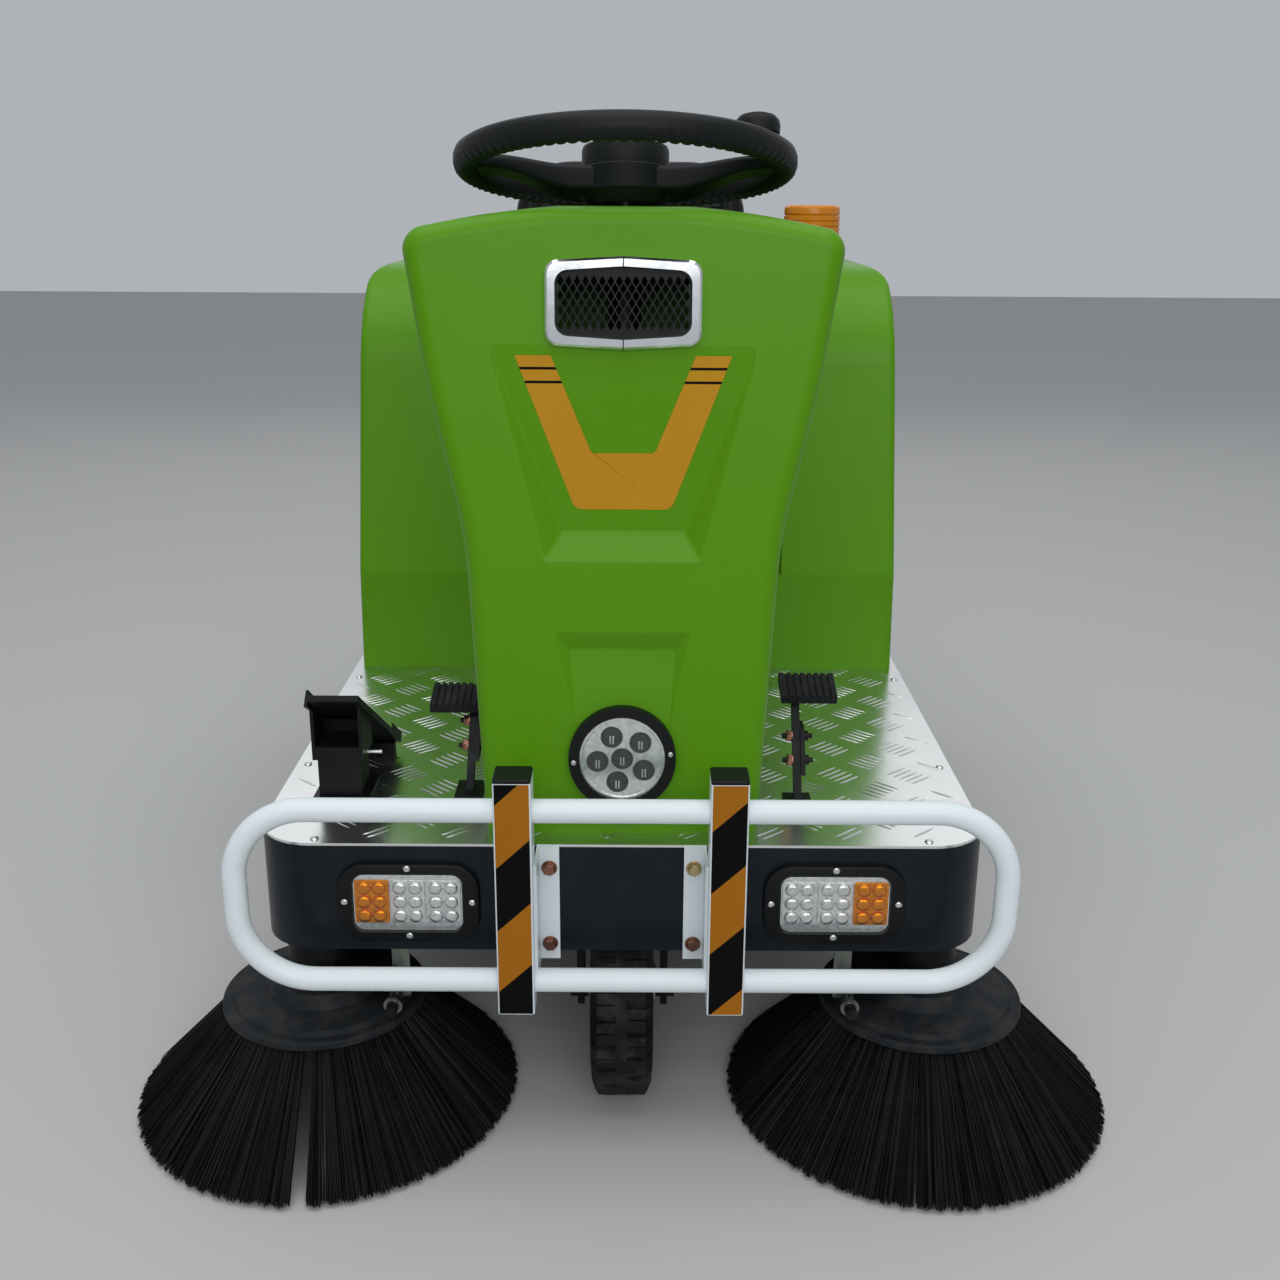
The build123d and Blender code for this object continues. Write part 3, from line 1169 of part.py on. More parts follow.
def toe_pedal(x, pad_x, pad_z, base_y):
    """A flat stalk leaning back from the deck, spliced with two bolts, and its ridged pad."""
    pad_y = base_y + PEDAL_RUN
    rise = pad_z - DECK_TOP
    half = PEDAL_STALK / 2
    stalk = outline((base_y, DECK_TOP), (base_y + 12, DECK_TOP), (pad_y + 8, pad_z - 3), (pad_y - 6, pad_z - 3))
    pedal = across(stalk, (x - half, x + half))
    low, high = PEDAL_BOLTS
    splice = outline(*[(base_y + PEDAL_RUN * z / rise + dy, DECK_TOP + z) for dy, z in ((-5, low - 12), (19, low - 12), (17, high + 12), (-7, high + 12))])
    pedal += across(splice, (x + half, x + half + 5))
    for bolt_z in PEDAL_BOLTS:
        y = base_y + PEDAL_RUN * bolt_z / rise + 6
        pedal += rod((x - half - 12, y, DECK_TOP + bolt_z), (x + half + 15, y, DECK_TOP + bolt_z), 3)
        pedal += rod((x - half - 6, y, DECK_TOP + bolt_z), (x - half, y, DECK_TOP + bolt_z), 6)
        pedal += rod((x + half + 4, y, DECK_TOP + bolt_z), (x + half + 10, y, DECK_TOP + bolt_z), 6)
    wide, deep, thick = PEDAL_PAD
    pad = Box(wide, deep, thick)
    pitch = wide / PEDAL_TEETH
    for tooth in range(PEDAL_TEETH - 1):
        pad -= Pos(pitch * (tooth + 1) - wide / 2, 0, thick / 2) * Box(0.4 * pitch, deep + 2, 5)
    pedal += Pos(pad_x, pad_y, pad_z) * (Rot(PEDAL_TILT, 0, 0) * pad)
    foot = PEDAL_STALK + 7
    return pedal + block((x - foot, x + foot), (base_y - 12, base_y + 34), (DECK_TOP, DECK_TOP + 6))


def accelerator_pedal():
    """A rimmed treadle hinged at the heel over its potentiometer box."""
    (toe_y, toe), (heel_y, heel) = TREADLE_TOE, TREADLE_HEEL
    sheet = TREADLE_SHEET
    side_view = outline((heel_y, DECK_TOP + heel), (heel_y + 4, DECK_TOP + heel + sheet), (toe_y, DECK_TOP + toe), (toe_y - 4, DECK_TOP + toe - sheet))
    rims = outline((heel_y, DECK_TOP + heel), (heel_y + 8, DECK_TOP + heel + 11), (toe_y + 4, DECK_TOP + toe + 5), (toe_y - 8, DECK_TOP + toe - 11))
    low, high = TREADLE_X
    plate = across(side_view, (low, high + TREADLE_SKEW)) + across(rims, (low, low + 5)) + across(rims, (high + TREADLE_SKEW - 5, high + TREADLE_SKEW))
    skew = outline((low, toe_y - 20, 0), (high, toe_y - 20, 0), (high + TREADLE_SKEW, heel_y + 20), (low + TREADLE_SKEW, heel_y + 20))
    treadle = plate & upward(skew, (DECK_TOP, DECK_TOP + 2 * toe))
    front, back = TREADLE_BOX
    slope = (toe - heel) / (toe_y - heel_y)
    top_front, top_back = [DECK_TOP + heel + slope * (y - heel_y) for y in TREADLE_BOX]
    bracket = across(outline((front, top_front), (back, top_back), (back, DECK_TOP + 54), (front, DECK_TOP + 54)), (low + 1, high))
    bracket -= block((low + 5, high - 4), (front - 1, back - 6), (DECK_TOP + 70, DECK_TOP + 2 * toe))
    bracket += block((low + 5, high - 5), (front + 8, back), (DECK_TOP + 6, DECK_TOP + 56))
    bracket += block((low - 2, high + 4), (front, back + 14), (DECK_TOP, DECK_TOP + 6))
    bracket += block((low + 18, high + TREADLE_SKEW - 8), (heel_y - 14, heel_y), (DECK_TOP, DECK_TOP + heel + 4))
    return treadle + bracket


def main():
    os.makedirs("parts", exist_ok=True)
    save("deck_plate", deck_plate())
    save("front_fascia", front_fascia())
    save("chassis_frame", chassis_frame())
    save("bumper_frame", bumper_frame())
    save("bumper_caps", *bumper_caps())
    save("lamp_bezels", *lamp_bezels())
    save("lamp_lenses", *lamp_lens(False))
    save("indicator_lenses", *lamp_lens(True))
    save("console_shell", console_shell())
    save("grille_frame", grille_frame())
    save("grille_mesh", grille_mesh())
    save("work_lamp_housing", work_lamp_housing())
    save("work_lamp_lens", work_lamp_lens())
    save("dash_panel", dash_panel())
    save("steering_column", steering_column())
    save("steering_wheel", steering_wheel() + spinner_knob())
    save("steering_shaft", steering_shaft())
    save("front_fork", front_fork())
    front = (0, FRONT_WHEEL_Y, FRONT_WHEEL_RADIUS)
    save("front_tyre", tyre(front, FRONT_WHEEL_RADIUS, FRONT_RIM_RADIUS))
    save("front_rim", rim(front, FRONT_RIM_RADIUS, AXLE_RADIUS + RUNNING_GAP))
    for name, side in (("left", 1), ("right", -1)):
        rear = (side * REAR_TRACK / 2, REAR_WHEEL_Y, REAR_WHEEL_RADIUS)
        save(f"rear_tyre_{name}", tyre(rear, REAR_WHEEL_RADIUS, REAR_RIM_RADIUS))
        save(f"rear_rim_{name}", rim(rear, REAR_RIM_RADIUS, STUB_RADIUS + RUNNING_GAP))
        save(f"side_brush_arm_{name}", side_brush_arm(side))
        save(f"brush_disc_{name}", brush_disc(side))
        save(f"brush_bristles_{name}", brush_bristles(side))
    save("side_skirts", side_skirt(1), side_skirt(-1))
    save("main_brush", main_brush())
    save("brush_housing", brush_housing())
    save("dust_flaps", *dust_flaps())
    save("hopper", hopper() + hopper_handle())
    save("rear_body_shell", rear_body_shell())
    save("seat_lid", seat_lid())
    save("seat_cushion", seat_cushion())
    save("seat_back", seat_back())
    save("battery_block", battery_block())
    save("beacon_base", beacon_base())
    save("beacon_lens", beacon_lens())
    save("brake_pedal", toe_pedal(-183, -202, 464, -420))
    save("flap_pedal", toe_pedal(205, 220, 490, -452))
    save("accelerator_pedal", accelerator_pedal())


main()
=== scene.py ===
# %% [markdown]
# A compact ride-on road sweeper: the looks
#
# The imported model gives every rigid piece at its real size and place. This script leaves those
# pieces where they are, gives each one a finish, and adds what a step closer shows: bristles,
# tread, lamps, stripes, screws and the seat. All sizes are in metres. The machine faces -Y and
# +X is its left side.

import json
import math
import random

import bmesh
import bpy
from mathutils import Matrix, Vector
from mathutils.bvhtree import BVHTree


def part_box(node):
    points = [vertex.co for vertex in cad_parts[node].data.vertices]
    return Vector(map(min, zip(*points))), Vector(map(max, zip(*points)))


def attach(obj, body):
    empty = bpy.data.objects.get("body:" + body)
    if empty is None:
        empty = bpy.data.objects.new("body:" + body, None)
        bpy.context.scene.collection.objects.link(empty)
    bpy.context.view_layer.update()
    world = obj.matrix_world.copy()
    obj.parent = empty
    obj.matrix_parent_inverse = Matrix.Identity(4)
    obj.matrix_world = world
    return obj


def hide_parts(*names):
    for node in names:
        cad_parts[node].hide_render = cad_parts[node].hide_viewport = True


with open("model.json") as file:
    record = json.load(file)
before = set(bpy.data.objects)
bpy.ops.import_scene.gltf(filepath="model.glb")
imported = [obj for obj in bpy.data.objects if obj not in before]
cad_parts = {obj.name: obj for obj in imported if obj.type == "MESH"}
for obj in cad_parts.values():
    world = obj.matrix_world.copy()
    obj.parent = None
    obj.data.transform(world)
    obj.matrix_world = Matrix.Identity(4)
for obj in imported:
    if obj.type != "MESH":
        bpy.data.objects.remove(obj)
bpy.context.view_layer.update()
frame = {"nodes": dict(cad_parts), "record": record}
scene = bpy.context.scene

# %% [markdown]
# The camera stands where the photographer stood: about 1.4 m in front of the bumper, at chest
# height, looking down by a little under 18 degrees. Its focal length follows from how far the
# deck's two edges run together. The lens is given for a 36 mm wide sensor.

# %% Camera
CAMERA_PLACE = Vector((0.0168, -1.951, 1.0525))
CAMERA_PITCH = math.radians(17.633)
CAMERA_YAW = math.radians(-0.083)
CAMERA_ROLL = math.radians(0.334)
CAMERA_LENS = 39.375
SENSOR_WIDTH = 36.0


def make_camera():
    data = bpy.data.cameras.new("photo_camera")
    data.lens = CAMERA_LENS
    data.sensor_width = SENSOR_WIDTH
    camera = bpy.data.objects.new("photo_camera", data)
    camera.location = CAMERA_PLACE
    # a camera looks down its own -Z, so a quarter turn about X lifts it to the horizon
    pitched = Matrix.Rotation(math.pi / 2 - CAMERA_PITCH, 3, "X")
    heading = Matrix.Rotation(CAMERA_YAW, 3, "Z") @ pitched
    camera.rotation_euler = (heading @ Matrix.Rotation(CAMERA_ROLL, 3, "Z")).to_euler()
    scene.collection.objects.link(camera)
    scene.camera = camera


make_camera()
print("camera:", CAMERA_LENS, "mm lens,", round(CAMERA_PLACE.z, 3), "m above the floor")

# %% [markdown]
# The photo was taken outdoors under a bright, even sky, so the light is one wide soft panel
# overhead, a weaker one from the front, a low one behind that the bright deck mirrors, and a pale
# world. One strong lamp would be simpler, but it would draw hard shadows that the photo lacks.
# The floor is plain.

# %% Floor, light and world
FLOOR_HALF = 14.0
FLOOR_COLOUR = (0.47, 0.47, 0.465)
FLOOR_ROUGHNESS = 0.9
SKY_COLOUR = (0.86, 0.9, 0.95)
SKY_STRENGTH = 0.5
LAMPS = {
    # name: (place, target, width, height, watts)
    "sky_panel": ((0, -0.8, 4.2), (0, 0, 0.4), 4.0, 4.0, 90),
    "front_panel": ((0.3, -4.4, 2.3), (0, -0.3, 0.5), 3.4, 2.0, 66),
    "rear_panel": ((0, 4.2, 2.85), (0, 0.2, 0.6), 7.0, 1.8, 24),
}


def make_floor():
    mesh = bpy.data.meshes.new("floor")
    corners = [(-1, -1), (1, -1), (1, 1), (-1, 1)]
    mesh.from_pydata([(x * FLOOR_HALF, y * FLOOR_HALF, 0) for x, y in corners], [], [(0, 1, 2, 3)])
    material = bpy.data.materials.new("floor_pale")
    material.use_nodes = True
    shader = material.node_tree.nodes["Principled BSDF"]
    shader.inputs["Base Color"].default_value = (*FLOOR_COLOUR, 1)
    shader.inputs["Roughness"].default_value = FLOOR_ROUGHNESS
    floor = bpy.data.objects.new("floor", mesh)
    floor.data.materials.append(material)
    scene.collection.objects.link(floor)


def make_light():
    for name, (place, target, width, height, watts) in LAMPS.items():
        light = bpy.data.lights.new(name, "AREA")
        light.shape = "RECTANGLE"
        light.size = width
        light.size_y = height
        light.energy = watts
        lamp = bpy.data.objects.new(name, light)
        lamp.location = place
        lamp.rotation_euler = (Vector(target) - Vector(place)).to_track_quat("-Z", "Y").to_euler()
        scene.collection.objects.link(lamp)
    world = bpy.data.worlds.new("pale_sky")
    world.use_nodes = True
    world.node_tree.nodes["Background"].inputs["Color"].default_value = (*SKY_COLOUR, 1)
    world.node_tree.nodes["Background"].inputs["Strength"].default_value = SKY_STRENGTH
    scene.world = world
    scene.view_settings.view_transform = "Standard"


make_floor()
make_light()
print("stage: a floor", 2 * FLOOR_HALF, "m wide under", len(LAMPS), "lamps")

# %% [markdown]
# A finish is easier to read as arithmetic than as a web of nodes. `Wire` stands for one output
# socket and adds a Math node for every operator, and `Finish` owns one material and makes any
# other node with a single method. Colours never go through a Math node, which would turn them
# grey: `blend` mixes them.


# %% Shader maths
class Wire:
    """One output socket of a node tree, with arithmetic."""

    def __init__(self, tree, socket):
        self.tree = tree
        self.socket = socket

    def math(self, operation, *others):
        made = self.tree.nodes.new("ShaderNodeMath")
        made.operation = operation
        for slot, value in enumerate((self, *others)):
            plug(self.tree, value, made.inputs[slot])
        return Wire(self.tree, made.outputs[0])

    def __add__(self, other):
        return self.math("ADD", other)

    def __mul__(self, other):
        return self.math("MULTIPLY", other)

    def __gt__(self, other):
        return self.math("GREATER_THAN", other)

    __radd__ = __add__
    __rmul__ = __mul__


def plug(tree, value, socket):
    """Link a wire to a socket, or set the socket's own value."""
    if isinstance(value, Wire):
        tree.links.new(value.socket, socket)
    elif socket.type == "RGBA" and len(value) == 3:
        socket.default_value = (*value, 1)
    else:
        socket.default_value = value


class Finish:
    """A material whose nodes are written as expressions."""

    def __init__(self, name, **shader):
        self.material = bpy.data.materials.new(name)
        self.material.use_nodes = True
        self.tree = self.material.node_tree
        self.shader = self.tree.nodes["Principled BSDF"]
        self.place = self.node("TexCoord", output="Object")
        self.set(**shader)

    def node(self, kind, sockets=None, output=0, **settings):
        """Any node: its settings first, then its sockets' values or links."""
        made = self.tree.nodes.new("ShaderNode" + kind)
        for key, value in settings.items():
            setattr(made, key, value)
        for key, value in (sockets or {}).items():
            plug(self.tree, value, made.inputs[key])
        return Wire(self.tree, made.outputs[output])

    def set(self, **shader):
        """Set or link the shader's sockets; base_color stands for Base Color."""
        for key, value in shader.items():
            name = key.replace("_", " ").title().replace("Ior", "IOR")
            plug(self.tree, value, self.shader.inputs[name])
        return self

    def noise(self, scale, detail=3.0, place=None):
        sockets = {"Vector": place or self.place, "Scale": scale, "Detail": detail, "Roughness": 0.5}
        return self.node("TexNoise", sockets, output="Fac")

    def speckle(self, scale, low, high, detail):
        """Noise pushed to 0 below low and to 1 above high."""
        sockets = {"Value": self.noise(scale, detail), "From Min": low, "From Max": high}
        return self.node("MapRange", sockets, output="Result")

    def blend(self, share, first, second):
        """Two colours mixed; a Mix node keeps its colours in sockets 6 and 7 and its result in 2."""
        return self.node("Mix", {"Factor": share, 6: first, 7: second}, output=2, data_type="RGBA")

    def bump(self, height, distance, strength=1.0):
        sockets = {"Height": height, "Distance": distance, "Strength": strength}
        self.set(normal=self.node("Bump", sockets, output="Normal"))
        return self

    def along(self, axis):
        """One coordinate of the place on the piece."""
        return self.node("SeparateXYZ", {"Vector": self.place}, output=axis)


def shade(colour, factor):
    """A colour made lighter or darker."""
    return tuple(min(1.0, part * factor) for part in colour)


# %% [markdown]
# Most of the machine is a few finishes: rotation-moulded polyethylene with a faint mottling and
# a skin like fine orange peel, powder-coated steel, bright rolled aluminium, black moulded
# plastic and rubber. A flat colour would do from afar. Each finish here starts from one colour
# and varies it a little at the scale that the real process leaves, so it also holds up close.


# %% Painted and moulded finishes
MOULDED_SHINE = 0.18
RUBBER_SHINE = 0.10
# noise scales: soft clouds of colour, fine flecks, patches of wear, dust and a coat's grain
CLOUDS = 7.0
FLECKS = 90.0
WEAR = 30.0
COAT_DUST = 26.0
COAT_GRAIN = 900.0
RUBBER_DUST = 40.0
DUST_ON_COAT = (0.16, 0.16, 0.15)
DUST_ON_RUBBER = (0.07, 0.07, 0.065)


def moulded(name, colour, roughness=0.36, grain=1400.0, mottle=0.05):
    made = Finish(name, specular_ior_level=MOULDED_SHINE)
    share = made.noise(CLOUDS, 4.0) * 0.7 + made.noise(FLECKS, 2.0) * 0.3
    made.set(base_color=made.blend(share, shade(colour, 1 - mottle), shade(colour, 1 + mottle)))
    made.set(roughness=made.noise(WEAR) * 0.12 + (roughness - 0.06))
    return made.bump(made.noise(grain, 2.0), 0.0004, 0.18).material


def powder_coat(name, colour, roughness, dust):
    made = Finish(name, specular_ior_level=MOULDED_SHINE)
    dirt = made.speckle(COAT_DUST, 0.52, 0.72, 6.0) * dust
    made.set(base_color=made.blend(dirt, colour, DUST_ON_COAT))
    made.set(roughness=made.noise(60.0) * 0.1 + dirt * 0.5 + (roughness - 0.05))
    return made.bump(made.noise(COAT_GRAIN, 2.0), 0.0003, 0.25).material


def rubbery(name, colour, roughness, dust, grain=700.0):
    made = Finish(name, specular_ior_level=RUBBER_SHINE)
    dirt = made.speckle(RUBBER_DUST, 0.45, 0.75, 8.0) * dust
    made.set(base_color=made.blend(dirt, colour, DUST_ON_RUBBER))
    made.set(roughness=made.noise(80.0) * 0.2 + (roughness - 0.1))
    return made.bump(made.noise(grain, 3.0), 0.0004, 0.3).material


# %% [markdown]
# Bright parts show how they were made. Rolled and plated sheet carries long faint scratches, so
# the noise is stretched along X before it is read. The grille's chrome frame is two halves that
# meet at its middle, and lamp trays are plated plastic with fine upright flutes.

# %% Metal, plated and glossy finishes
BRUSHED = (6.0, 90.0, 90.0)
FLUTED = (3.0, 1.0, 0.5)
SEAM_HALF = 0.0006
SEAM_DARK = (0.05, 0.05, 0.05)
CHROME = (0.80, 0.82, 0.84)


def bright_metal(name, colour, roughness, scratch=0.5):
    made = Finish(name, metallic=1.0)
    streak = made.node("Mapping", {"Vector": made.place, "Scale": BRUSHED}, output="Vector")
    brushed = made.noise(14.0, 3.0, place=streak)
    made.set(base_color=made.blend(made.noise(12.0, 4.0), shade(colour, 0.9), shade(colour, 1.05)))
    made.set(roughness=brushed * 0.16 * scratch + made.noise(9.0) * 0.08 + (roughness - 0.08))
    return made.bump(brushed, 0.0002, 0.12 * scratch).material


def plain_gloss(name, colour, roughness, **shader):
    made = Finish(name, **shader)
    made.set(base_color=made.blend(made.noise(20.0), shade(colour, 0.94), shade(colour, 1.05)))
    made.set(roughness=made.noise(40.0) * 0.05 + roughness)
    return made.material


def seamed_chrome(name):
    """Chrome whose frame is split at its middle by a hair-thin dark seam."""
    made = Finish(name, metallic=1.0)
    beside_seam = made.along("X").math("ABSOLUTE") > SEAM_HALF
    made.set(base_color=made.blend(beside_seam, SEAM_DARK, CHROME))
    made.set(roughness=made.noise(60.0, 3.0) * 0.06 + 0.08)
    return made.bump(made.noise(120.0), 0.0002, 0.1).material


def lamp_silver(name, colour):
    """Plated plastic with fine upright flutes, as lamp trays have."""
    made = Finish(name, metallic=1.0)
    flutes = made.node("Mapping", {"Vector": made.place, "Scale": FLUTED}, output="Vector")
    pattern = made.noise(420.0, 2.0, place=flutes)
    made.set(base_color=made.blend(made.noise(160.0), shade(colour, 0.55), shade(colour, 1.1)))
    made.set(roughness=pattern * 0.25 + 0.1)
    return made.bump(pattern, 0.0008, 0.6).material


# %% [markdown]
# The colours were read off the photo in linear light and then corrected where the render of the
# same spot came out lighter or darker. Black parts are never wholly black: sheet is a little
# blue, rubber and bristles are neutral with dust in them.

# %% All finishes
GREEN = (0.084, 0.260, 0.0012)
NAVY_BLACK = (0.0062, 0.0098, 0.0150)
SATIN_BLACK = (0.0045, 0.0048, 0.0055)
SOFT_BLACK = (0.0050, 0.0056, 0.0060)
finishes = {
    "body_green": moulded("body_green", GREEN),
    "checker_plate": bright_metal("checker_plate", (0.80, 0.81, 0.80), 0.24),
    "dark_sheet": powder_coat("dark_sheet", NAVY_BLACK, 0.33, 0.02),
    "frame_black": powder_coat("frame_black", SATIN_BLACK, 0.42, 0.12),
    "bumper_white": powder_coat("bumper_white", (0.70, 0.76, 0.79), 0.26, 0.02),
    "black_plastic": moulded("black_plastic", SOFT_BLACK, 0.42, 900.0, 0.15),
    "wheel_black": moulded("wheel_black", (0.0062, 0.0078, 0.0085), 0.48, 1600.0, 0.12),
    "clear_lens": plain_gloss("clear_lens", (0.80, 0.84, 0.84), 0.06, alpha=0.035),
    "amber_lens": plain_gloss("amber_lens", (0.56, 0.190, 0.008), 0.2, specular_ior_level=0.3),
    "chrome": seamed_chrome("chrome"),
    "mesh_black": powder_coat("mesh_black", (0.004, 0.006, 0.004), 0.35, 0.02),
    "steel": bright_metal("steel", (0.42, 0.43, 0.40), 0.34),
    "tyre": rubbery("tyre", (0.0085, 0.0095, 0.0095), 0.6, 0.45),
    "rim_red": powder_coat("rim_red", (0.36, 0.014, 0.010), 0.3, 0.08),
    "bristle_black": rubbery("bristle_black", (0.0042, 0.0052, 0.0058), 0.42, 0.06),
    "disc_black": rubbery("disc_black", (0.0150, 0.0175, 0.0200), 0.55, 0.35),
    "flap_rubber": rubbery("flap_rubber", (0.16, 0.016, 0.012), 0.6, 0.25),
    "seat_vinyl": moulded("seat_vinyl", SOFT_BLACK, 0.45, 1000.0, 0.15),
    "battery": moulded("battery", (0.03, 0.03, 0.034), 0.5),
}
# finishes of what only this script adds: printed films, fasteners and lamp reflectors
finishes.update({
    "film_orange": plain_gloss("film_orange", (0.470, 0.228, 0.006), 0.45, specular_ior_level=0.2),
    "film_black": plain_gloss("film_black", (0.0018, 0.0018, 0.0021), 0.45, specular_ior_level=0.08),
    "stripe_orange": plain_gloss("stripe_orange", (0.330, 0.118, 0.0008), 0.45, specular_ior_level=0.2),
    "copper_zinc": bright_metal("copper_zinc", (0.30, 0.15, 0.105), 0.36),
    "brass_zinc": bright_metal("brass_zinc", (0.50, 0.40, 0.20), 0.3),
    "zinc": bright_metal("zinc", (0.20, 0.215, 0.19), 0.36),
    "screw_steel": bright_metal("screw_steel", (0.66, 0.67, 0.66), 0.3),
    "reflector": lamp_silver("reflector", (0.84, 0.86, 0.85)),
    "amber_reflector": lamp_silver("amber_reflector", (0.86, 0.27, 0.002)),
    "lamp_dark": plain_gloss("lamp_dark", (0.006, 0.0065, 0.005), 0.3, specular_ior_level=0.15),
})
print("finishes:", len(finishes))

# %% [markdown]
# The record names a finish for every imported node. Only the two toe pedals differ: the record has
# them in bare steel, and in the photo they are painted as the frame is.

# %% Give every carried-over node its finish
slot_of = {row["node"]: row["material_slot"] for row in frame["record"]["subparts"]}
slot_of.update({"brake_pedal": "frame_black", "flap_pedal": "frame_black"})
for node_name, node in frame["nodes"].items():
    node.data.materials.clear()
    node.data.materials.append(finishes[slot_of[node_name]])
print("nodes finished:", len(frame["nodes"]), "with", len(set(slot_of.values())), "finishes")

# %% [markdown]
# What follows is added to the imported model. A piece is a finished mesh at the origin that rides
# on one body. Most shapes are skins through rings of points, which gives full control of every
# section; a turned part is such a skin with round rings.


# %% Making pieces
def own(name, made, finish, body="root", stands_for=(), sharp=35.0):
    """Put a finished mesh into the scene, on its body, in place of the nodes it stands for."""
    mesh = made
    if isinstance(made, bmesh.types.BMesh):
        mesh = bpy.data.meshes.new(name)
        made.to_mesh(mesh)
        made.free()
    mesh.shade_smooth()
    mesh.set_sharp_from_angle(angle=math.radians(sharp))
    if isinstance(finish, str):
        mesh.materials.clear()
        mesh.materials.append(finishes[finish])
    piece = bpy.data.objects.new(name, mesh)
    scene.collection.objects.link(piece)
    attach(piece, body)
    if stands_for:
        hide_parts(*stands_for)
    print(f"{name}: {len(mesh.polygons)} faces on {body}")
    return piece


def skin(rings, closed=True, caps=True):
    """A mesh through rings of points, each ring with the same number of points."""
    shape = bmesh.new()
    rows = [[shape.verts.new(point) for point in ring] for ring in rings]
    count = len(rows[0])
    for low, high in zip(rows, rows[1:]):
        for index in range(count if closed else count - 1):
            after = (index + 1) % count
            shape.faces.new((low[index], low[after], high[after], high[index]))
    if caps:
        shape.faces.new(rows[0][::-1])
        shape.faces.new(rows[-1])
    bmesh.ops.recalc_face_normals(shape, faces=shape.faces)
    return shape


def circle(radius, height, count, start=0.0):
    turns = [start + math.tau * index / count for index in range(count)]
    return [(radius * math.cos(turn), radius * math.sin(turn), height) for turn in turns]


POLE = 0.00002


def turned(profile, count=24):
    """A solid of revolution about Z from (radius, height) pairs."""
    return skin([circle(max(radius, POLE), height, count) for radius, height in profile])


def moved(shape, place):
    """The same shape, shifted."""
    bmesh.ops.translate(shape, verts=shape.verts, vec=place)
    return shape


def join(*shapes):
    """Several bmeshes as one."""
    whole = bmesh.new()
    for shape in shapes:
        mesh = bpy.data.meshes.new("part")
        shape.to_mesh(mesh)
        shape.free()
        whole.from_mesh(mesh)
        bpy.data.meshes.remove(mesh)
    return whole


def evaluated(holder):
    """A plain mesh of what an object's modifiers make of it."""
    depsgraph = bpy.context.evaluated_depsgraph_get()
    return bpy.data.meshes.new_from_object(holder.evaluated_get(depsgraph))


# %% [markdown]
# Whatever repeats, such as tread bars, screws and bristles, is one small template that a
# Geometry Nodes group copies onto points. Each point carries its own turn and size, so one group
# serves them all. The group ends in Realize Instances and Set Material, because the export keeps
# only real faces.


# %% Copies on points
def copies_group():
    """The node group: a template on every point, turned and sized by the point's attributes."""
    group = bpy.data.node_groups.new("Copies on points", "GeometryNodeTree")
    for label, kind in (("Points", "Geometry"), ("Template", "Object"), ("Finish", "Material")):
        group.interface.new_socket(label, in_out="INPUT", socket_type="NodeSocket" + kind)
    group.interface.new_socket("Result", in_out="OUTPUT", socket_type="NodeSocketGeometry")
    made = {}
    for label, kind in (
        ("inputs", "NodeGroupInput"),
        ("template", "GeometryNodeObjectInfo"),
        ("turn", "GeometryNodeInputNamedAttribute"),
        ("size", "GeometryNodeInputNamedAttribute"),
        ("rotation", "FunctionNodeEulerToRotation"),
        ("copies", "GeometryNodeInstanceOnPoints"),
        ("real", "GeometryNodeRealizeInstances"),
        ("finish", "GeometryNodeSetMaterial"),
        ("output", "NodeGroupOutput"),
    ):
        made[label] = group.nodes.new(kind)
    for label in ("turn", "size"):
        made[label].data_type = "FLOAT_VECTOR"
        made[label].inputs["Name"].default_value = label
    for source, output, target, name in (
        ("inputs", "Points", "copies", "Points"),
        ("inputs", "Template", "template", "Object"),
        ("template", "Geometry", "copies", "Instance"),
        ("turn", "Attribute", "rotation", "Euler"),
        ("rotation", "Rotation", "copies", "Rotation"),
        ("size", "Attribute", "copies", "Scale"),
        ("copies", "Instances", "real", "Geometry"),
        ("real", "Geometry", "finish", "Geometry"),
        ("inputs", "Finish", "finish", "Material"),
        ("finish", "Geometry", "output", "Result"),
    ):
        group.links.new(made[source].outputs[output], made[target].inputs[name])
    return group


COPIES = copies_group()
print("copies group:", len(COPIES.nodes), "nodes")


def scatter(name, template, spots, finish, body="root", stands_for=(), sharp=35.0):
    """Copies of a template at spots, each (place, turn, size)."""
    mesh = bpy.data.meshes.new(name + "_template")
    template.to_mesh(mesh)
    template.free()
    model = bpy.data.objects.new(name + "_template", mesh)
    points = bpy.data.meshes.new(name + "_points")
    points.from_pydata([tuple(spot[0]) for spot in spots], [], [])
    for index, label in ((1, "turn"), (2, "size")):
        values = points.attributes.new(label, "FLOAT_VECTOR", "POINT")
        values.data.foreach_set("vector", [number for spot in spots for number in spot[index]])
    holder = bpy.data.objects.new(name + "_points", points)
    scene.collection.objects.link(model)
    scene.collection.objects.link(holder)
    modifier = holder.modifiers.new("Copies", "NODES")
    modifier.node_group = COPIES
    socket = {item.name: item.identifier for item in COPIES.interface.items_tree}
    modifier[socket["Template"]] = model
    modifier[socket["Finish"]] = finishes[finish]
    real = evaluated(holder)
    bpy.data.objects.remove(holder)
    bpy.data.objects.remove(model)
    real.name = name
    return own(name, real, finish, body, stands_for, sharp)


FACING_FRONT = (math.pi / 2, 0.0, 0.0)
FACING_RIGHT = (0.0, -math.pi / 2, 0.0)
SAME = (1.0, 1.0, 1.0)
# how far a thing that is laid on a surface reaches into it
SUNK = 0.0002
DECK_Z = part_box("deck_plate")[1][2]
FASCIA_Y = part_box("deck_plate")[0][1]

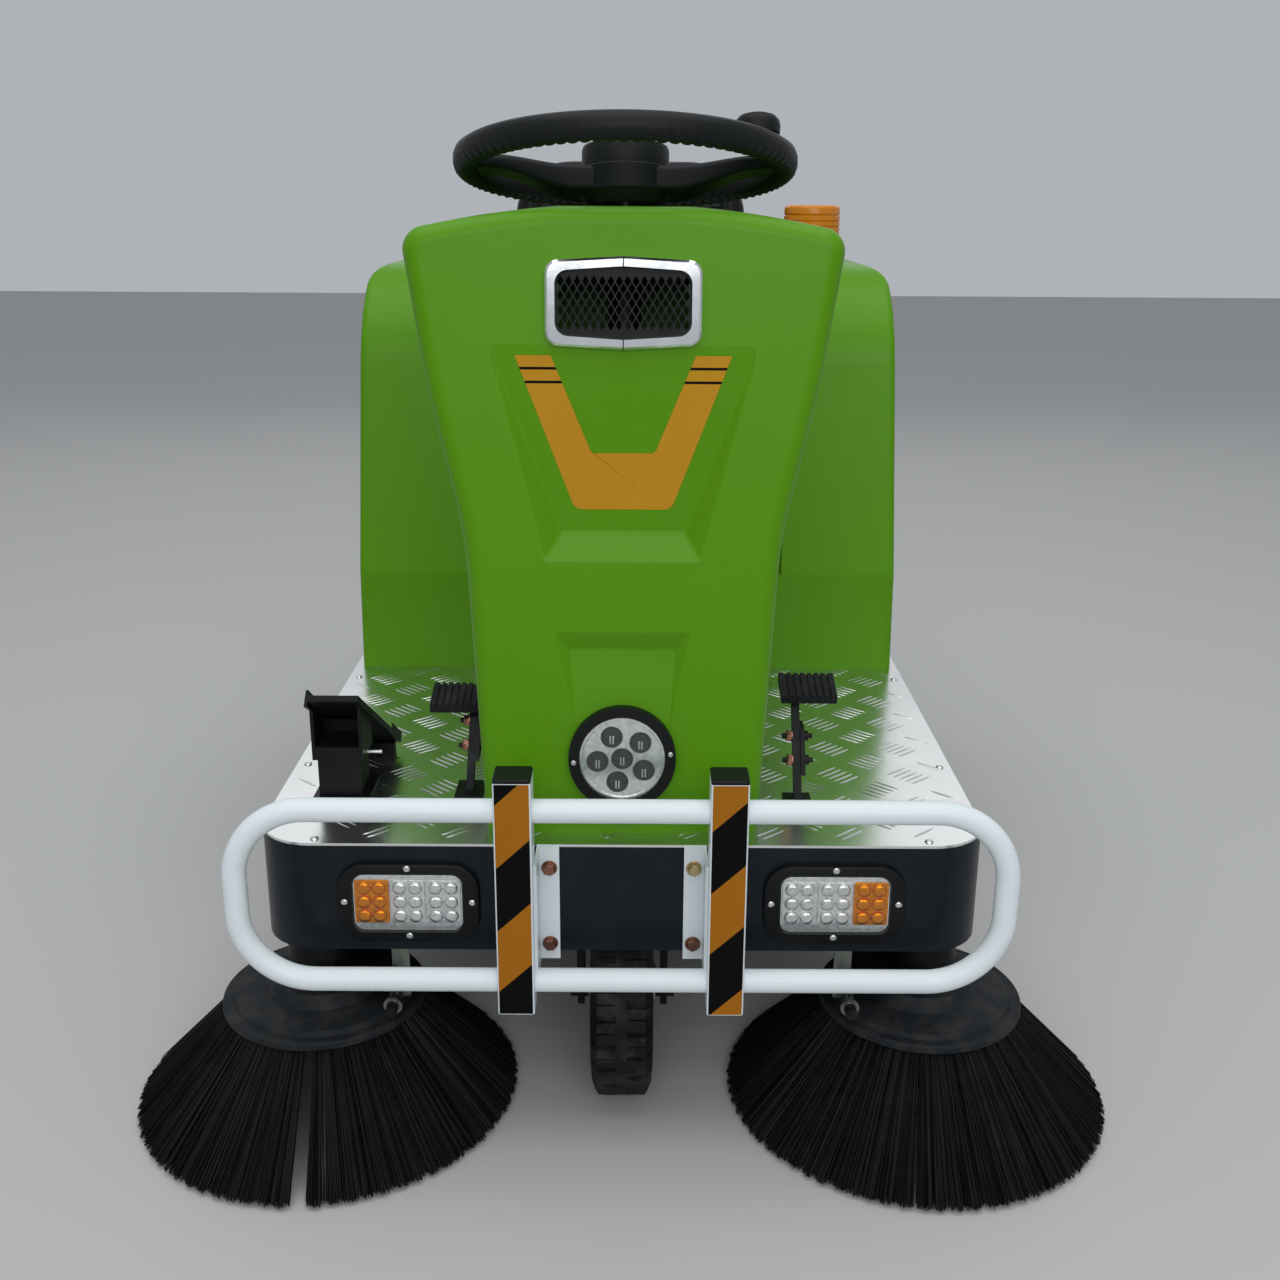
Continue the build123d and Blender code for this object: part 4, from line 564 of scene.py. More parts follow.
# %% [markdown]
# The deck is aluminium tread plate. Its raised bars come in groups of five. One set of groups
# stands on a square lattice, the other, turned by a right angle, in the middle of its squares.
# A bump could fake the bars, but they catch the light along their edges, so they are real.

# %% Tread bars on the deck
TREAD_PITCH = 0.088
TREAD_ANGLE = math.radians(42)
BAR_LENGTH = 0.037
BAR_WIDTH = 0.0044
BAR_HEIGHT = 0.0010
BAR_SPACING = 0.0092
BAR_END = 0.06
TREAD_REAR = 0.06
SIDE_MARGIN = 0.012
FRONT_MARGIN = 0.014
DECK_CORNER = 0.065


def tread_bar():
    """One bar, highest in its middle and running out at both ends."""
    rings = []
    for step in range(9):
        share = step / 4 - 1
        swell = math.sqrt(max(0.0, 1 - share * share)) * (1 - BAR_END) + BAR_END
        half = BAR_WIDTH / 2 * swell
        high = BAR_HEIGHT * swell
        section = [(-1, -SUNK), (-0.55, high * 0.7), (0, high), (0.55, high * 0.7), (1, -SUNK)]
        rings.append([(BAR_LENGTH / 2 * share, half * across, z) for across, z in section])
    return skin(rings)


def tread_spots():
    """Every bar that lies wholly on the open part of the deck."""
    low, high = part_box("deck_plate")
    half = high[0] - SIDE_MARGIN
    front = low[1] + FRONT_MARGIN
    bars = [
        (lattice, angle, row, column, bar)
        for lattice, angle in ((0.0, TREAD_ANGLE), (0.5, -TREAD_ANGLE))
        for row in range(-8, 2)
        for column in range(-6, 7)
        for bar in range(-2, 3)
    ]
    spots = []
    for lattice, angle, row, column, bar in bars:
        x = (column + lattice) * TREAD_PITCH - math.sin(angle) * bar * BAR_SPACING
        y = (row + lattice) * TREAD_PITCH + math.cos(angle) * bar * BAR_SPACING
        reach_x = abs(math.cos(angle)) * BAR_LENGTH / 2
        reach_y = abs(math.sin(angle)) * BAR_LENGTH / 2
        in_deck = abs(x) + reach_x < half and front + reach_y < y < TREAD_REAR
        beyond_x = max(0.0, abs(x) + reach_x - (half - DECK_CORNER))
        beyond_y = max(0.0, front + DECK_CORNER - y + reach_y)
        if in_deck and math.hypot(beyond_x, beyond_y) < DECK_CORNER:
            spots.append(((x, y, DECK_Z), (0, 0, angle), SAME))
    print("tread bars:", len(spots))
    return spots


scatter("deck_tread", tread_bar(), tread_spots(), "checker_plate")

# %% [markdown]
# The stripes are printed films, stuck on. An image texture would have to be painted and could
# blur, so each film is a thin skin laid on the surface behind it. It is cut along the lines
# between its colours, and each face takes the colour of the place it lies at.

# %% Laying a film on a surface
LIFT = 0.0004
BESIDE = 3e-5


def surface_of(node_name):
    """A node's surface, to lay things on."""
    node = frame["nodes"][node_name]
    shape = bmesh.new()
    shape.from_mesh(node.data)
    shape.transform(node.matrix_world)
    surface = BVHTree.FromBMesh(shape)
    shape.free()
    return surface


def film(name, corners, cuts, colour_at, colours, node):
    """A printed film: corners in X and Z, cut by planes, laid on a node's front."""
    shape = bmesh.new()
    shape.faces.new([shape.verts.new((x, -1.0, z)) for x, z in corners])
    bmesh.ops.triangulate(shape, faces=shape.faces)
    for place, normal in cuts:
        geometry = shape.verts[:] + shape.edges[:] + shape.faces[:]
        bmesh.ops.bisect_plane(shape, geom=geometry, plane_co=place, plane_no=normal)
    surface = surface_of(node)
    for vertex in shape.verts:
        # a ray along a seam of the surface can slip through, so two more start beside it
        starts = [vertex.co + Vector((nudge, 0, nudge)) for nudge in (0, BESIDE, -BESIDE)]
        hits = [surface.ray_cast(start, Vector((0, 1, 0)))[0] for start in starts]
        vertex.co.y = min(hit.y for hit in hits if hit) - LIFT
    for face in shape.faces:
        face.material_index = colour_at(face.calc_center_median())
        if face.normal.y > 0:
            face.normal_flip()
    mesh = bpy.data.meshes.new(name)
    shape.to_mesh(mesh)
    shape.free()
    for colour in colours:
        mesh.materials.append(finishes[colour])
    return own(name, mesh, None)


def rounded(points, radii, steps=6):
    """A polygon with its corners rounded."""
    made = []
    for index, point in enumerate(points):
        here = Vector(point)
        radius = radii[index]
        if not radius:
            made.append(tuple(here))
            continue
        one = (Vector(points[index - 1]) - here).normalized()
        two = (Vector(points[(index + 1) % len(points)]) - here).normalized()
        half = one.angle(two) / 2
        centre = here + (one + two).normalized() * radius / math.sin(half)
        first = (here + one * radius / math.tan(half) - centre).normalized()
        last = (here + two * radius / math.tan(half) - centre).normalized()
        for step in range(steps + 1):
            made.append(tuple(centre + first.slerp(last, step / steps) * radius))
    return made


# %% [markdown]
# The big V follows the column's recess, so its film bends over the recess's edges. It is cut
# every 6 mm both ways, which lets it follow the bends, and again along both edges of its thin
# black stripes.

# %% The V on the column
V_TOP = 0.8945
V_HALVES = (0.1125, 0.075, 0.0335, 0.0515)
V_INNER_BOTTOM = 0.7925
V_BOTTOM = 0.7315
V_OUTER_ROUND = 0.012
V_INNER_ROUND = 0.006
V_STRIPES = (0.8812, 0.8670)
V_STRIPE_HALF = 0.0014
CUT_STEP = 0.006
CUTS_FROM = (-0.114, 0.73)


def v_film():
    outer, inner, inner_low, outer_low = V_HALVES
    points = [
        (outer, V_TOP), (outer_low, V_BOTTOM), (-outer_low, V_BOTTOM), (-outer, V_TOP),
        (-inner, V_TOP), (-inner_low, V_INNER_BOTTOM), (inner_low, V_INNER_BOTTOM), (inner, V_TOP),
    ]
    radii = [0, V_OUTER_ROUND, V_OUTER_ROUND, 0, 0, V_INNER_ROUND, V_INNER_ROUND, 0]
    from_x, from_z = CUTS_FROM
    cuts = [((0, 0, from_z + CUT_STEP * step), (0, 0, 1)) for step in range(28)]
    cuts += [((from_x + CUT_STEP * step, 0, 0), (1, 0, 0)) for step in range(39)]
    cuts += [((0, 0, z + side * V_STRIPE_HALF), (0, 0, 1)) for z in V_STRIPES for side in (1, -1)]

    def in_stripe(place):
        return int(min(abs(place.z - z) for z in V_STRIPES) < V_STRIPE_HALF)

    film("column_v", rounded(points, radii), cuts, in_stripe, ("film_orange", "film_black"), "console_shell")


v_film()

# %% [markdown]
# The two bumper posts carry slanted warning stripes. Each change of colour is one slanted cut,
# given by its height on the post's middle line.

# %% Stripes on the posts
POST_X = 0.1135
FILM_HALF = 0.0182
FILM_Z = (0.2018, 0.4722)
SLANT = 0.935
POST_STRIPES = {
    # post: (side, heights of the changes from the top, colour of the topmost stripe)
    "right": (-1, (0.4655, 0.3928, 0.3192, 0.2458), 1),
    "left": (1, (0.4369, 0.3647, 0.2927, 0.2169), 0),
}


def post_film(label, side, heights, first):
    middle = side * POST_X
    low, high = middle - FILM_HALF, middle + FILM_HALF
    corners = [(low, FILM_Z[0]), (high, FILM_Z[0]), (high, FILM_Z[1]), (low, FILM_Z[1])]
    cuts = [((middle, 0, z), (-SLANT, 0, 1)) for z in heights]

    def colour_at(place):
        on_middle = place.z - SLANT * (place.x - middle)
        return (first + sum(on_middle < z for z in heights)) % 2

    film("post_stripes_" + label, corners, cuts, colour_at, ("stripe_orange", "film_black"), "bumper_frame")


for label, stripes in POST_STRIPES.items():
    post_film(label, *stripes)

# %% [markdown]
# Fasteners tell the size of a thing. The brackets have copper-coloured zinc bolts and one of
# brass colour, the deck has pan-head screws near its edges, and each toe pedal's stalk is clamped
# by two bolts. All are two templates, turned to face the way they are seen.


# %% Bolts and screws
def hex_bolt(across, height, washer):
    """A hexagon head with chamfered corners on a washer."""
    corner = across * 0.577
    head = skin([circle(corner, 0.0, 6), circle(corner, height * 0.8, 6), circle(across * 0.5, height, 6)])
    flange = turned([(washer, -SUNK), (washer, 0.0012), (washer * 0.96, 0.0016), (across * 0.4, 0.0017)])
    return join(moved(head, (0, 0, 0.0014)), flange)


def pan_screw(radius, height):
    """A domed head with a shallow dip in its middle."""
    profile = [
        (radius, -SUNK), (radius, height * 0.4), (radius * 0.8, height * 0.8), (radius * 0.45, height),
        (0, height * 0.72),
    ]
    return turned(profile, 16)


BRACKET_Y = FASCIA_Y - 0.003
BOLTS = {
    # colour: (finish, places in X and Z)
    "copper": ("copper_zinc", [(-0.08, 0.343), (-0.08, 0.2495), (0.08, 0.2495)]),
    "brass": ("brass_zinc", [(0.08, 0.343)]),
}
for label, (finish, places) in BOLTS.items():
    spots = []
    for number, (x, z) in enumerate(places):
        spots.append(((x, BRACKET_Y, z), (math.pi / 2, math.radians(17 + 40 * number), 0), SAME))
    scatter("bracket_bolts_" + label, hex_bolt(0.0125, 0.0062, 0.0088), spots, finish)

DECK_SCREWS = ((0.396, 0.008), (0.396, -0.325), (0.341, -0.538))
spots = [((side * x, y, DECK_Z), (0, 0, 0), SAME) for x, y in DECK_SCREWS for side in (1, -1)]
scatter("deck_screws", pan_screw(0.0048, 0.0022), spots, "screw_steel")

PEDAL_BOLTS = {
    # node: (outer face of the stalk, (Y, Z) of the bolts)
    "brake_pedal": (-0.1875, ((-0.3729, 0.416), (-0.3514, 0.440))),
    "flap_pedal": (0.2005, ((-0.4138, 0.416), (-0.3970, 0.440))),
}
spots = []
for face_x, places in PEDAL_BOLTS.values():
    spots += [((face_x, y, z), FACING_RIGHT, SAME) for y, z in places]
scatter("pedal_bolts", hex_bolt(0.0124, 0.0060, 0.0074), spots, "copper_zinc")

# a bright pin stands out of the accelerator's box, under its treadle
PEDAL_PIN_PLACE = (-0.312, -0.415, 0.4245)
PEDAL_PIN = [(0.0023, 0.0), (0.0023, 0.0270), (0.0018, 0.0275)]
pin = turned(PEDAL_PIN, 16)
bmesh.ops.transform(pin, matrix=Matrix.Rotation(math.pi / 2, 4, "Y"), verts=pin.verts)
own("pedal_pin", moved(pin, PEDAL_PIN_PLACE), "screw_steel")

# %% [markdown]
# A lamp pair is a black moulded surround with four screws. In it sits a clear cover over three
# plated trays, each with six bubble lenses; the outer tray is amber. What is seen through the
# cover makes the lamp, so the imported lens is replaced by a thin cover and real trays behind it.


# %% Lamp pairs in the fascia
def slab(half_x, half_z, corner, back, front, edge):
    """A plate with rounded corners, facing the front, with a small round along its front edge."""
    rings = []
    for depth, shrink in ((back, 0), (front - edge, 0), (front - edge * 0.3, edge * 0.3), (front, edge)):
        x, z = half_x - shrink, half_z - shrink
        corners = [(-x, -z), (x, -z), (x, z), (-x, z)]
        rings.append([(px, pz, depth) for px, pz in rounded(corners, [corner - shrink] * 4, 8)])
    return skin(rings)


def front_facing(shape, centre, tilt=0.0):
    """Stand a piece drawn flat up on its place, its Z towards the front and tilted up a little."""
    bmesh.ops.transform(shape, matrix=Matrix.Rotation(math.pi / 2 - tilt, 4, "X"), verts=shape.verts)
    return moved(shape, centre)


LAMP_Z = 0.302
TRAY_Z = LAMP_Z + 0.002
# plates: half width, half height, corner radius, back, front, rounding of the front edge
SURROUND = (0.0792, 0.0475, 0.031, 0.0002, 0.008, 0.003)
LAMP_BACK = (0.0578, 0.0323, 0.009, -0.0268, 0.001, 0.001)
COVER = (0.0615, 0.0350, 0.012, 0.006, 0.0150, 0.003)
COVER_LIP = (0.0603, 0.0338, 0.012, 0.006, 0.0088, 0.0004)
TRAY = (0.0192, 0.0262, 0.003, 0.0085, 0.0108, 0.0008)
TRAY_PITCH = 0.0398
BUBBLE_PITCH = 0.0170
BUBBLE_BACK = 0.0107
BUBBLE = [
    (0.0080, -SUNK), (0.0078, 0.0010), (0.0066, 0.0024), (0.0046, 0.0032), (0.0022, 0.0036), (0, 0.0037),
]
LAMP_SCREWS = ((0, 0.0415), (0, -0.0415), (0.0710, 0), (-0.0710, 0))


def lamp_pair():
    """Both lamps at once: each list becomes one piece."""
    low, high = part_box("lamp_bezels")
    lamp_x = high[0] - SURROUND[0]
    surround_z = (low[2] + high[2]) / 2
    surrounds, covers, trays, amber_trays = [], [], [], []
    bubbles, amber_bubbles, screws = [], [], []
    for side in (1, -1):
        middle = side * lamp_x
        for plate in (SURROUND, LAMP_BACK):
            surrounds.append(front_facing(slab(*plate), (middle, FASCIA_Y, surround_z)))
        covers.append(front_facing(slab(*COVER), (middle, FASCIA_Y, LAMP_Z)))
        # the cover's base shows as a lip below the trays
        trays.append(front_facing(slab(*COVER_LIP), (middle, FASCIA_Y, LAMP_Z)))
        for column in (-1, 0, 1):
            is_outer = column == 1
            tray_x = side * (lamp_x + column * TRAY_PITCH)
            tray = front_facing(slab(*TRAY), (tray_x, FASCIA_Y, TRAY_Z))
            (amber_trays if is_outer else trays).append(tray)
            for row in (-1, 0, 1):
                for place in (-0.5, 0.5):
                    x, z = tray_x + place * BUBBLE_PITCH, TRAY_Z + row * BUBBLE_PITCH
                    spot = ((x, FASCIA_Y - BUBBLE_BACK, z), FACING_FRONT, SAME)
                    (amber_bubbles if is_outer else bubbles).append(spot)
        for x, z in LAMP_SCREWS:
            screws.append(((middle + x, FASCIA_Y - SURROUND[4], LAMP_Z + z), FACING_FRONT, SAME))
    own("lamp_surrounds", join(*surrounds), "black_plastic", stands_for=("lamp_bezels",))
    own("lamp_covers", join(*covers), "clear_lens", stands_for=("lamp_lenses",))
    own("lamp_trays", join(*trays), "reflector")
    own("lamp_trays_amber", join(*amber_trays), "amber_reflector", stands_for=("indicator_lenses",))
    scatter("lamp_bubbles", turned(BUBBLE, 20), bubbles, "reflector")
    scatter("lamp_bubbles_amber", turned(BUBBLE, 20), amber_bubbles, "amber_reflector")
    scatter("bezel_screws", pan_screw(0.0038, 0.0018), screws, "screw_steel")


lamp_pair()

# %% [markdown]
# The round work lamp has a plated face with six deep dark bowls, one in the middle of five; two
# bright upright strips in each bowl are a painted highlight. A flat curve with round holes makes
# the face in one go, where cutting holes in a mesh would leave ragged edges. The lamp is tilted up
# a little, as the column's front leans back.

# %% Work lamp
WORK_LAMP_TILT = 0.0625
FACE_DEPTH = -0.0045
FACE_THICK = 0.0012
FACE_MARGIN = 0.003
FACE_STEPS = 72
BOWL_STEPS = 40
BOWL_RADIUS = 0.0122
BOWL_CIRCLE = 0.0273
BOWL_START = math.radians(115)
BOWL_DEPTH = 0.0075
# a bowl's outline: shares of its radius and of its depth
BOWL = ((1.0, 0.1), (0.985, 0.0), (0.9, -0.30), (0.7, -0.66), (0.4, -0.92), (0.0, -1.0))
# the bright rim: how far inside the lamp's edge, and its height
RIM = ((0.0005, -0.010), (0.0005, -0.0030), (0.0030, -0.0030), (0.0045, -0.0042))
# a painted highlight: a bright upright strip on a bowl's floor, given as the plates of the lamp pairs are
PAINTED_HIGHLIGHT = (0.0008, 0.0048, 0.0007, -0.0115, -0.0056, 0.0004)
HIGHLIGHT_SHIFTS = (-0.0016, 0.0016)
HIGHLIGHT_DROP = 0.0040
RING_SCREWS = (184, 7)
RING_SCREW_RADIUS = 0.0535


def plate_with_holes(outer, holes, thick):
    """A flat round plate with round holes, from filled curves."""
    curve = bpy.data.curves.new("plate", "CURVE")
    curve.dimensions = "2D"
    curve.fill_mode = "BOTH"
    curve.extrude = thick / 2
    outlines = [(0, 0, outer, FACE_STEPS), *[(x, y, BOWL_RADIUS, BOWL_STEPS) for x, y in holes]]
    for x, y, radius, count in outlines:
        spline = curve.splines.new("POLY")
        spline.points.add(count - 1)
        spline.use_cyclic_u = True
        for point, (px, py, _) in zip(spline.points, circle(radius, 0, count)):
            point.co = (x + px, y + py, 0, 1)
    holder = bpy.data.objects.new("plate", curve)
    scene.collection.objects.link(holder)
    mesh = evaluated(holder)
    bpy.data.objects.remove(holder)
    shape = bmesh.new()
    shape.from_mesh(mesh)
    bpy.data.meshes.remove(mesh)
    bmesh.ops.remove_doubles(shape, verts=shape.verts, dist=1e-6)
    bmesh.ops.recalc_face_normals(shape, faces=shape.faces)
    return shape


def lamp_bowls(holes):
    """The dark bowls, and two bright upright strips on the floor of each as a painted highlight."""
    bowls, highlight_strips = [], []
    for x, y in holes:
        rings = [
            circle(max(BOWL_RADIUS * share, POLE), FACE_DEPTH + BOWL_DEPTH * depth, BOWL_STEPS)
            for share, depth in BOWL
        ]
        bowl = skin(rings, caps=False)
        bmesh.ops.reverse_faces(bowl, faces=bowl.faces)
        bowls.append(moved(bowl, (x, y, 0)))
        for shift in HIGHLIGHT_SHIFTS:
            highlight_strips.append(moved(slab(*PAINTED_HIGHLIGHT), (x + shift, y - HIGHLIGHT_DROP, 0)))
    return join(*bowls), join(*highlight_strips)


def work_lamp():
    low, high = [Vector(corner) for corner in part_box("work_lamp_lens")]
    radius = (high.x - low.x) / 2
    rise = math.sin(WORK_LAMP_TILT)
    centre = Vector(((low.x + high.x) / 2, low.y + radius * rise, (low.z + high.z) / 2))

    def place(shape):
        return front_facing(shape, centre, WORK_LAMP_TILT)

    turns = [BOWL_START - math.tau * index / 5 for index in range(5)]
    holes = [(0, 0)] + [(BOWL_CIRCLE * math.cos(turn), BOWL_CIRCLE * math.sin(turn)) for turn in turns]
    face = moved(plate_with_holes(radius - FACE_MARGIN, holes, FACE_THICK), (0, 0, FACE_DEPTH))
    rim = skin([circle(radius - inset, height, FACE_STEPS) for inset, height in RIM], caps=False)
    own("work_lamp_face", place(join(face, rim)), "reflector")
    bowls, highlight_strips = lamp_bowls(holes)
    own("work_lamp_bowls", place(bowls), "lamp_dark")
    # the bright strips in the bowls are a painted highlight, the streak of light that each bowl shows
    own("work_lamp_ribs", place(highlight_strips), "reflector")
    dome = [(radius, -0.0034), (radius, -0.0014), (0.043, -0.0008), (0.030, -0.0003), (0, 0)]
    cover = place(turned(dome, FACE_STEPS))
    own("work_lamp_cover", cover, "clear_lens", stands_for=("work_lamp_lens",))
    low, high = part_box("work_lamp_housing")
    ring_y = low[1] + SUNK + (high[0] - low[0]) / 2 * rise
    spots = []
    for degrees in RING_SCREWS:
        turn = math.radians(degrees)
        x, z = RING_SCREW_RADIUS * math.cos(turn), RING_SCREW_RADIUS * math.sin(turn)
        spots.append(((x, ring_y + z * rise, centre.z + z), FACING_FRONT, SAME))
    scatter("work_lamp_screws", pan_screw(0.0028, 0.0014), spots, "screw_steel")


work_lamp()

# %% [markdown]
# Each brush arm hangs from a bright zinc-plated strap, and the adjusting rod below it ends in a
# nut and a grease nipple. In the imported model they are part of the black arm. A second colour on
# one solid isn't possible, so thin bright pieces lie over the arm's own strap and rod.

# %% Straps and rods of the brush arms
STRAP_HALF = 0.0103
# corner radius, back, front, rounding of the front edge
STRAP_PLATE = (0.006, -0.0018, 0.0019, 0.0006)
STRAP_X, STRAP_Y = 0.257, -0.5105
STRAP_HOLE_Z = 0.262
STRAP_EYE = [(0.0056, 0.0017), (0.0056, 0.0032), (0.0040, 0.0038), (0.0030, 0.0024), (0, 0.0024)]
ROD_X, ROD_Y, ROD_Z = 0.262, -0.553, 0.165
ROD_END = [
    (0.0073, -0.045), (0.0073, -0.004), (0.0058, -0.003), (0.0058, 0.002), (0.0068, 0.003), (0.0068, 0.0085),
    (0.0050, 0.0098), (0, 0.0098),
]
NUT_RADIUS = 0.0104
NUT_HEIGHTS = (-0.012, -0.0055)
NUT_TURN = 0.3
NUT_FLANGE = [(0.0108, -0.0055), (0.0108, -0.0042), (0.0072, -0.0040)]


def arm_zinc(label, side):
    low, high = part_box("side_brush_arm_" + label)
    height = (high[2] - low[2]) / 2 + SUNK
    strap = front_facing(
        slab(STRAP_HALF, height, *STRAP_PLATE), (side * STRAP_X, STRAP_Y, (low[2] + high[2]) / 2)
    )
    eye = front_facing(turned(STRAP_EYE, 20), (side * STRAP_X, STRAP_Y, STRAP_HOLE_Z))
    nut = skin([circle(NUT_RADIUS, z, 6, NUT_TURN) for z in NUT_HEIGHTS])
    rod = join(turned(ROD_END, 24), nut, turned(NUT_FLANGE, 24))
    rod = front_facing(rod, (side * ROD_X, ROD_Y, ROD_Z))
    own("arm_zinc_" + label, join(strap, eye, rod), "zinc", "brush_arm_" + label)


arm_zinc("left", 1)
arm_zinc("right", -1)

# %% [markdown]
# The hand wheel is one moulding: a thick rim with finger notches along its underside, two wide
# dished spokes, a hub with a narrower cap, and a spinner knob on the rim's inner edge. A plain
# torus has no notches, so the rim is built ring by ring. The whole is drawn square to its own
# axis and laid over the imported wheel, which leans back with the column.

# %% Hand wheel
WHEEL_TOP = Vector((0, -0.311, 1.084))
WHEEL_AXIS = Vector((0, 0.136, 0.714)).normalized()
RIM_MIDDLE = 0.175
GRIP = 0.015
# the rim's section, in shares of the grip: outwards and up
GRIP_SECTION = [
    (-0.55, -0.86), (0.0, -1.0), (0.5, -0.98), (0.86, -0.66), (1.0, -0.2), (1.0, 0.3), (0.84, 0.72),
    (0.4, 1.0), (-0.1, 1.0), (-0.5, 0.92), (-0.85, 0.6), (-0.98, 0.2), (-0.9, -0.4),
]
NOTCHES = 84
NOTCH_STEPS = 6
NOTCH_DEPTH = 0.0022
NOTCHED_BELOW = -0.6
SPOKE_REACH = 0.169
SPOKE_STEPS = 24
SPOKE_BEND = (0.052, 0.150)
SPOKE_ROUND = 0.006
# half width, underside and top of the spokes
AT_HUB = (0.039, -0.034, -0.007)
AT_RIM = (0.027, -0.008, 0.007)
HUB = [
    (0.011, -0.0460), (0.040, -0.0460), (0.044, -0.0420), (0.049, -0.0350), (0.052, -0.0320),
    (0.052, -0.0075), (0.0505, -0.0060), (0.0485, -0.0060), (0.0485, 0.0140), (0.0470, 0.0180),
    (0.0425, 0.0200), (0, 0.0205),
]
KNOB = [
    (0.011, 0.007), (0.010, 0.0135), (0.020, 0.0165), (0.0240, 0.0190), (0.0245, 0.0260), (0.0235, 0.0320),
    (0.0190, 0.0370), (0.0110, 0.0395), (0, 0.0400),
]
KNOB_REACH, KNOB_TURN = 0.155, math.radians(25)


def wheel_rim():
    """The rim ring by ring, each notch a shallow scallop on the underside."""
    rings = []
    for step in range(NOTCHES * NOTCH_STEPS):
        turn = math.tau * step / (NOTCHES * NOTCH_STEPS)
        scallop = NOTCH_DEPTH * math.sin(math.pi * step / NOTCH_STEPS) ** 2
        ring = []
        for out, high in GRIP_SECTION:
            lift = scallop if high < NOTCHED_BELOW else 0.0
            radius = RIM_MIDDLE + out * GRIP
            ring.append((radius * math.cos(turn), radius * math.sin(turn), high * GRIP + lift))
        rings.append(ring)
    shape = skin(rings + rings[:1], caps=False)
    bmesh.ops.remove_doubles(shape, verts=shape.verts, dist=1e-6)
    return shape


def wheel_spokes():
    """One bar from rim to rim, wide and low at the hub, narrow and level at its ends."""
    bend_from, bend_to = SPOKE_BEND
    rings = []
    for step in range(-SPOKE_STEPS, SPOKE_STEPS + 1):
        x = SPOKE_REACH * step / SPOKE_STEPS
        near = min(1.0, max(0.0, (abs(x) - bend_from) / (bend_to - bend_from)))
        ease = near * near * (3 - 2 * near)
        half, low, high = [hub + (rim - hub) * ease for hub, rim in zip(AT_HUB, AT_RIM)]
        corners = [(-half, low), (half, low), (half, high), (-half, high)]
        rings.append([(x, y, z) for y, z in rounded(corners, [SPOKE_ROUND] * 4, 4)])
    return skin(rings)


def hand_wheel():
    knob_place = (KNOB_REACH * math.cos(KNOB_TURN), -KNOB_REACH * math.sin(KNOB_TURN), 0)
    knob = moved(turned(KNOB, 40), knob_place)
    wheel = join(wheel_rim(), wheel_spokes(), turned(HUB, 64), knob)
    bmesh.ops.recalc_face_normals(wheel, faces=wheel.faces)
    lean = Matrix.Rotation(-math.atan2(WHEEL_AXIS.y, WHEEL_AXIS.z), 4, "X")
    bmesh.ops.transform(wheel, matrix=Matrix.Translation(WHEEL_TOP) @ lean, verts=wheel.verts)
    own("hand_wheel_moulding", wheel, "wheel_black", "steering", ("steering_wheel",), 40.0)


hand_wheel()

# %% [markdown]
# The tyres have a plain rib round the middle and shallow cross grooves on both sides of it, set
# half a step apart, with a short slit in every block. The tread is part of the tyre's own mesh:
# rings stand only where a groove begins or ends, so it stays light and its edges stay sharp.

# %% Tyres
GROOVE_DEPTH = 0.006
GROOVE_WIDTH = 0.0085
GROOVE_EDGE = 0.0008
SLIT_HALF = 0.0012
SLIT_DEPTH = GROOVE_DEPTH * 0.6
SLIT = (0.013, 0.028)
TREAD_STEP = 0.034
TREAD_SIDE = 0.016
RIB_HALF = 0.0065
BEAD_SHARE = 0.6


def tyre_section(half, radius):
    """The outline across the tyre from bead to bead, as (x, radius)."""
    bead = radius * BEAD_SHARE
    across = [
        (-half + 0.008, bead), (-half + 0.003, bead + 0.008), (-half, radius - 0.030),
        (-half + 0.0015, radius - 0.016), (-half + 0.0055, radius - 0.006), (-half + 0.0085, radius - 0.0015),
        (-SLIT[1], radius - 0.0004), (-SLIT[0], radius), (-RIB_HALF - 0.0006, radius), (-RIB_HALF, radius),
    ]
    return across + [(-x, r) for x, r in reversed(across)]


def tyre_piece(name, node, body):
    low, high = [Vector(corner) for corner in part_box(node)]
    centre = (low + high) / 2
    radius = (high.z - low.z) / 2
    across = tyre_section((high.x - low.x) / 2, radius)
    steps = round(math.tau * radius / TREAD_STEP)
    step_angle = math.tau / steps
    edge, groove, slit = GROOVE_EDGE / radius, GROOVE_WIDTH / radius, SLIT_HALF / radius
    # marks: first and last angle, kind and depth; kind 1 is a groove and 2 a slit, with its side's sign
    marks = []
    for start, kind in ((0.0, -1), (step_angle / 2, 1)):
        middle = start + (step_angle + groove) / 2
        marks.append((start, start + groove, kind, GROOVE_DEPTH))
        marks.append((middle - slit, middle + slit, kind * 2, SLIT_DEPTH))
    angles = sorted({
        round((angle + shift) % step_angle, 7) for first, last, kind, depth in marks
        for angle, shift in ((first, 0), (first, edge), (last, -edge), (last, 0))
    })

    def depth_at(angle, x, r):
        if r < radius - TREAD_SIDE:
            return 0.0
        for first, last, kind, depth in marks:
            inside = (angle - first) % step_angle
            if not edge * 0.5 < inside < (last - first) - edge * 0.5 or x * kind < 0:
                continue
            if abs(kind) == 1 and abs(x) > RIB_HALF:
                return depth
            if abs(kind) == 2 and SLIT[0] - 1e-6 < abs(x) < SLIT[1] + 1e-6:
                return depth
        return 0.0

    rings = []
    for turn, angle in [(step * step_angle + angle, angle) for step in range(steps) for angle in angles]:
        ring = []
        for x, r in across:
            reach = r - depth_at(angle, x, r)
            ring.append((centre.x + x, centre.y + reach * math.cos(turn), centre.z + reach * math.sin(turn)))
        rings.append(ring)
    shape = skin(rings + rings[:1], closed=False, caps=False)
    bmesh.ops.remove_doubles(shape, verts=shape.verts, dist=1e-6)
    bmesh.ops.recalc_face_normals(shape, faces=shape.faces)
    own(name, shape, "tyre", body, (node,), 28.0)


